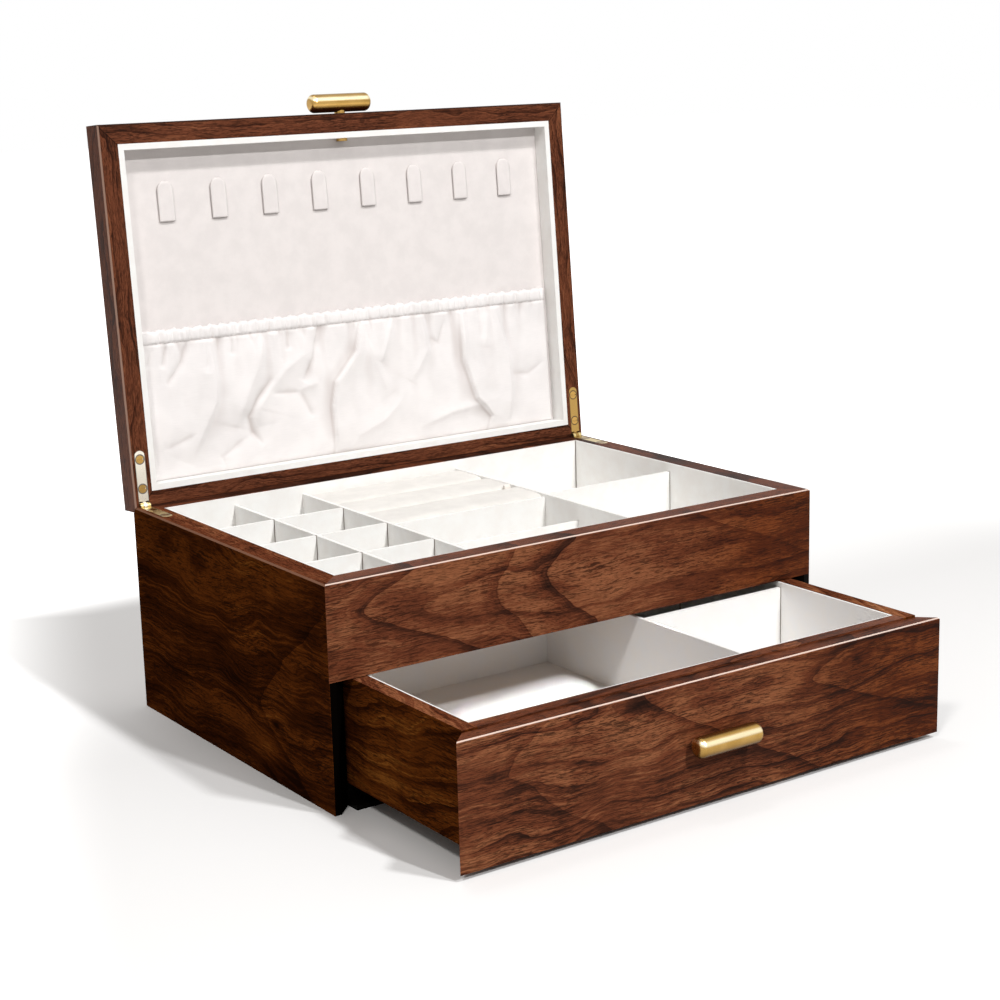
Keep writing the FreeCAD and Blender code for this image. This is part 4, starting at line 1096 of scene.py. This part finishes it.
def dress_boards():
    """Gives each wooden board its own length of walnut."""
    boards = {
        "front_apron": walnut("apron walnut", "x", "z", (6, -96.5, 92), **APRON_LOOK),
        "left_side_panel": walnut(
            "left side walnut", "y", "z", (-144, 24, 98), (0.1, 0.12), **LEFT_SIDE_LOOK
        ),
        "right_side_panel": walnut(
            "right side walnut", "y", "z", (144, -30, 40), (0.18, 0.12), **RIGHT_SIDE_LOOK
        ),
        "back_panel": walnut("back walnut", "x", "z", (40, 96, 70), (0.1, 0.16), **BACK_LOOK),
        "drawer_front": walnut(
            "drawer front walnut", "x", "z", (-50, -197, 52), (0.09, 0.06), **DRAWER_FRONT_LOOK
        ),
        "lid_top_panel": walnut("lid top walnut", "x", "z", (-20, 112, 200), (0.12, 0.16), 15),
    }
    for side, along, across, heart, spread, look in (
        ("front", "x", "z", (60, 110, 270), (0.02, 0.03), RAIL_LOOK),
        ("back", "x", "z", (-60, 110, 85), (0.03, 0.02), RAIL_LOOK),
        ("left", "z", "x", (-165, 110, 200), (0.02, 0.03), LIT_EDGE_RAIL_LOOK),
        ("right", "z", "x", (165, 110, 200), (0.02, 0.03), RAIL_LOOK),
    ):
        rail = walnut(f"lid {side} rail walnut", along, across, heart, spread, **look)
        boards[f"lid_{side}_rail"] = rail
    sides = walnut("drawer side wood", "y", "z", (-133, -60, 90), (0.3, 0.1), **DRAWER_SIDE_LOOK)
    ends = walnut("drawer end wood", "x", "z", (40, -190, 75), (0.1, 0.1), 8)
    base = walnut("base wood", "x", "y", (40, -190, 0), (0.1, 0.1), 8, SHADED_WALNUT, stain=BASE_EDGE)
    boards |= dict.fromkeys(("drawer_left_side", "drawer_right_side"), sides)
    boards |= dict.fromkeys(("drawer_inner_front", "drawer_back"), ends)
    boards |= dict.fromkeys(("left_runner", "right_runner", "base_panel"), base)
    return boards


# The lining cloths' colours, and where lined cards and rolls meet.
TRAY_CLOTH = "f5f3f0"
# The drawer's cloth is painted paler than the tray's, as painted light in the drawer's shade.
DRAWER_CLOTH = "fbf9f6"
ROLL_SEAMS = (("y", 1.5, 0.3), ("y", 30.4, 0.45), ("y", 59.8, 0.45))
ROW_SEAMS = (("x", -96.3, 1), ("x", -53.9, 1))
TRAY_CORNER = (136.7, 89.2)
DRAWER_CORNER = (127.7, -20.3)


def dress_linings():
    """Gives the lined walls and dividers their cloth, with the dark joints where they meet."""
    linings = {}
    walls = (("tray", TRAY_CLOTH, TRAY_CORNER), ("drawer", DRAWER_CLOTH, DRAWER_CORNER))
    for place, colour, (x, y) in walls:
        linings[f"{place}_lining"] = suede(f"{place} wall suede", colour, corners=((x, y), (-x, y)))
    rows = suede("row divider suede", TRAY_CLOTH, seams=ROW_SEAMS)
    linings |= dict.fromkeys(("back_row_divider", "middle_row_divider", "front_row_divider"), rows)
    tray_end, drawer_end = (("x", TRAY_CORNER[0], 1),), (("x", DRAWER_CORNER[0], 1),)
    linings["right_cross_divider"] = suede("cross divider suede", TRAY_CLOTH, seams=tray_end)
    linings["drawer_cross_divider"] = suede("drawer cross suede", DRAWER_CLOTH, seams=drawer_end)
    drawer_cloth = suede("drawer suede", DRAWER_CLOTH)
    linings |= dict.fromkeys(("drawer_floor_lining", "drawer_divider"), drawer_cloth)
    return linings


def dress_leaves():
    """Gives each hinge leaf its tone as painted light and shade: the same brass painted pale on the left
    lid leaf, darker on the right one, and between them on the case leaves, for how the room's light falls
    on each.
    """
    case_leaf = leaf_brass("case leaf brass", "y", CASE_SCREWS, "d3bd84")
    return {
        "left_lid_leaf": leaf_brass("left lid leaf brass", "z", LID_SCREWS, "ece5d6"),
        "right_lid_leaf": leaf_brass("right lid leaf brass", "z", LID_SCREWS, "a8874c"),
        "left_case_leaf": case_leaf,
        "right_case_leaf": case_leaf,
    }


def dress_nodes(frame):
    """Puts a finish on every node that keeps its own shape, by its name or else by its slot."""
    own = dress_boards() | dress_linings() | dress_leaves()
    cloth = suede("tray suede", TRAY_CLOTH)
    finishes = {
        "plywood": plywood("base ply"),
        "brass": brass("brass", "x"),
        "suede": cloth,
        "lid_suede": suede("lid suede", "e6e0de"),
        "roll_suede": suede("roll suede", "e4e1dc", 1.2, ROLL_SEAMS),
        "foam": foam("riser foam"),
        "satin": cloth,
    }
    for name, node in frame["nodes"].items():
        for holder in node.material_slots:
            slot = holder.material.name.split(".")[0] if holder.material else ""
            holder.material = own.get(name) or finishes.get(slot, cloth)
    return finishes


def build():
    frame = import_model()
    cad_box = [list(corner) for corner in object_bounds()]
    camera()
    room()
    finishes = dress_nodes(frame)
    pocket_cloth()
    for index in (1, 2, 3):
        ring_roll(index, finishes["roll_suede"])
    pull_ribbon(satin("ribbon satin", "efe9e2"))
    necklace_tabs(finishes["lid_suede"])
    return cad_box


box = build()
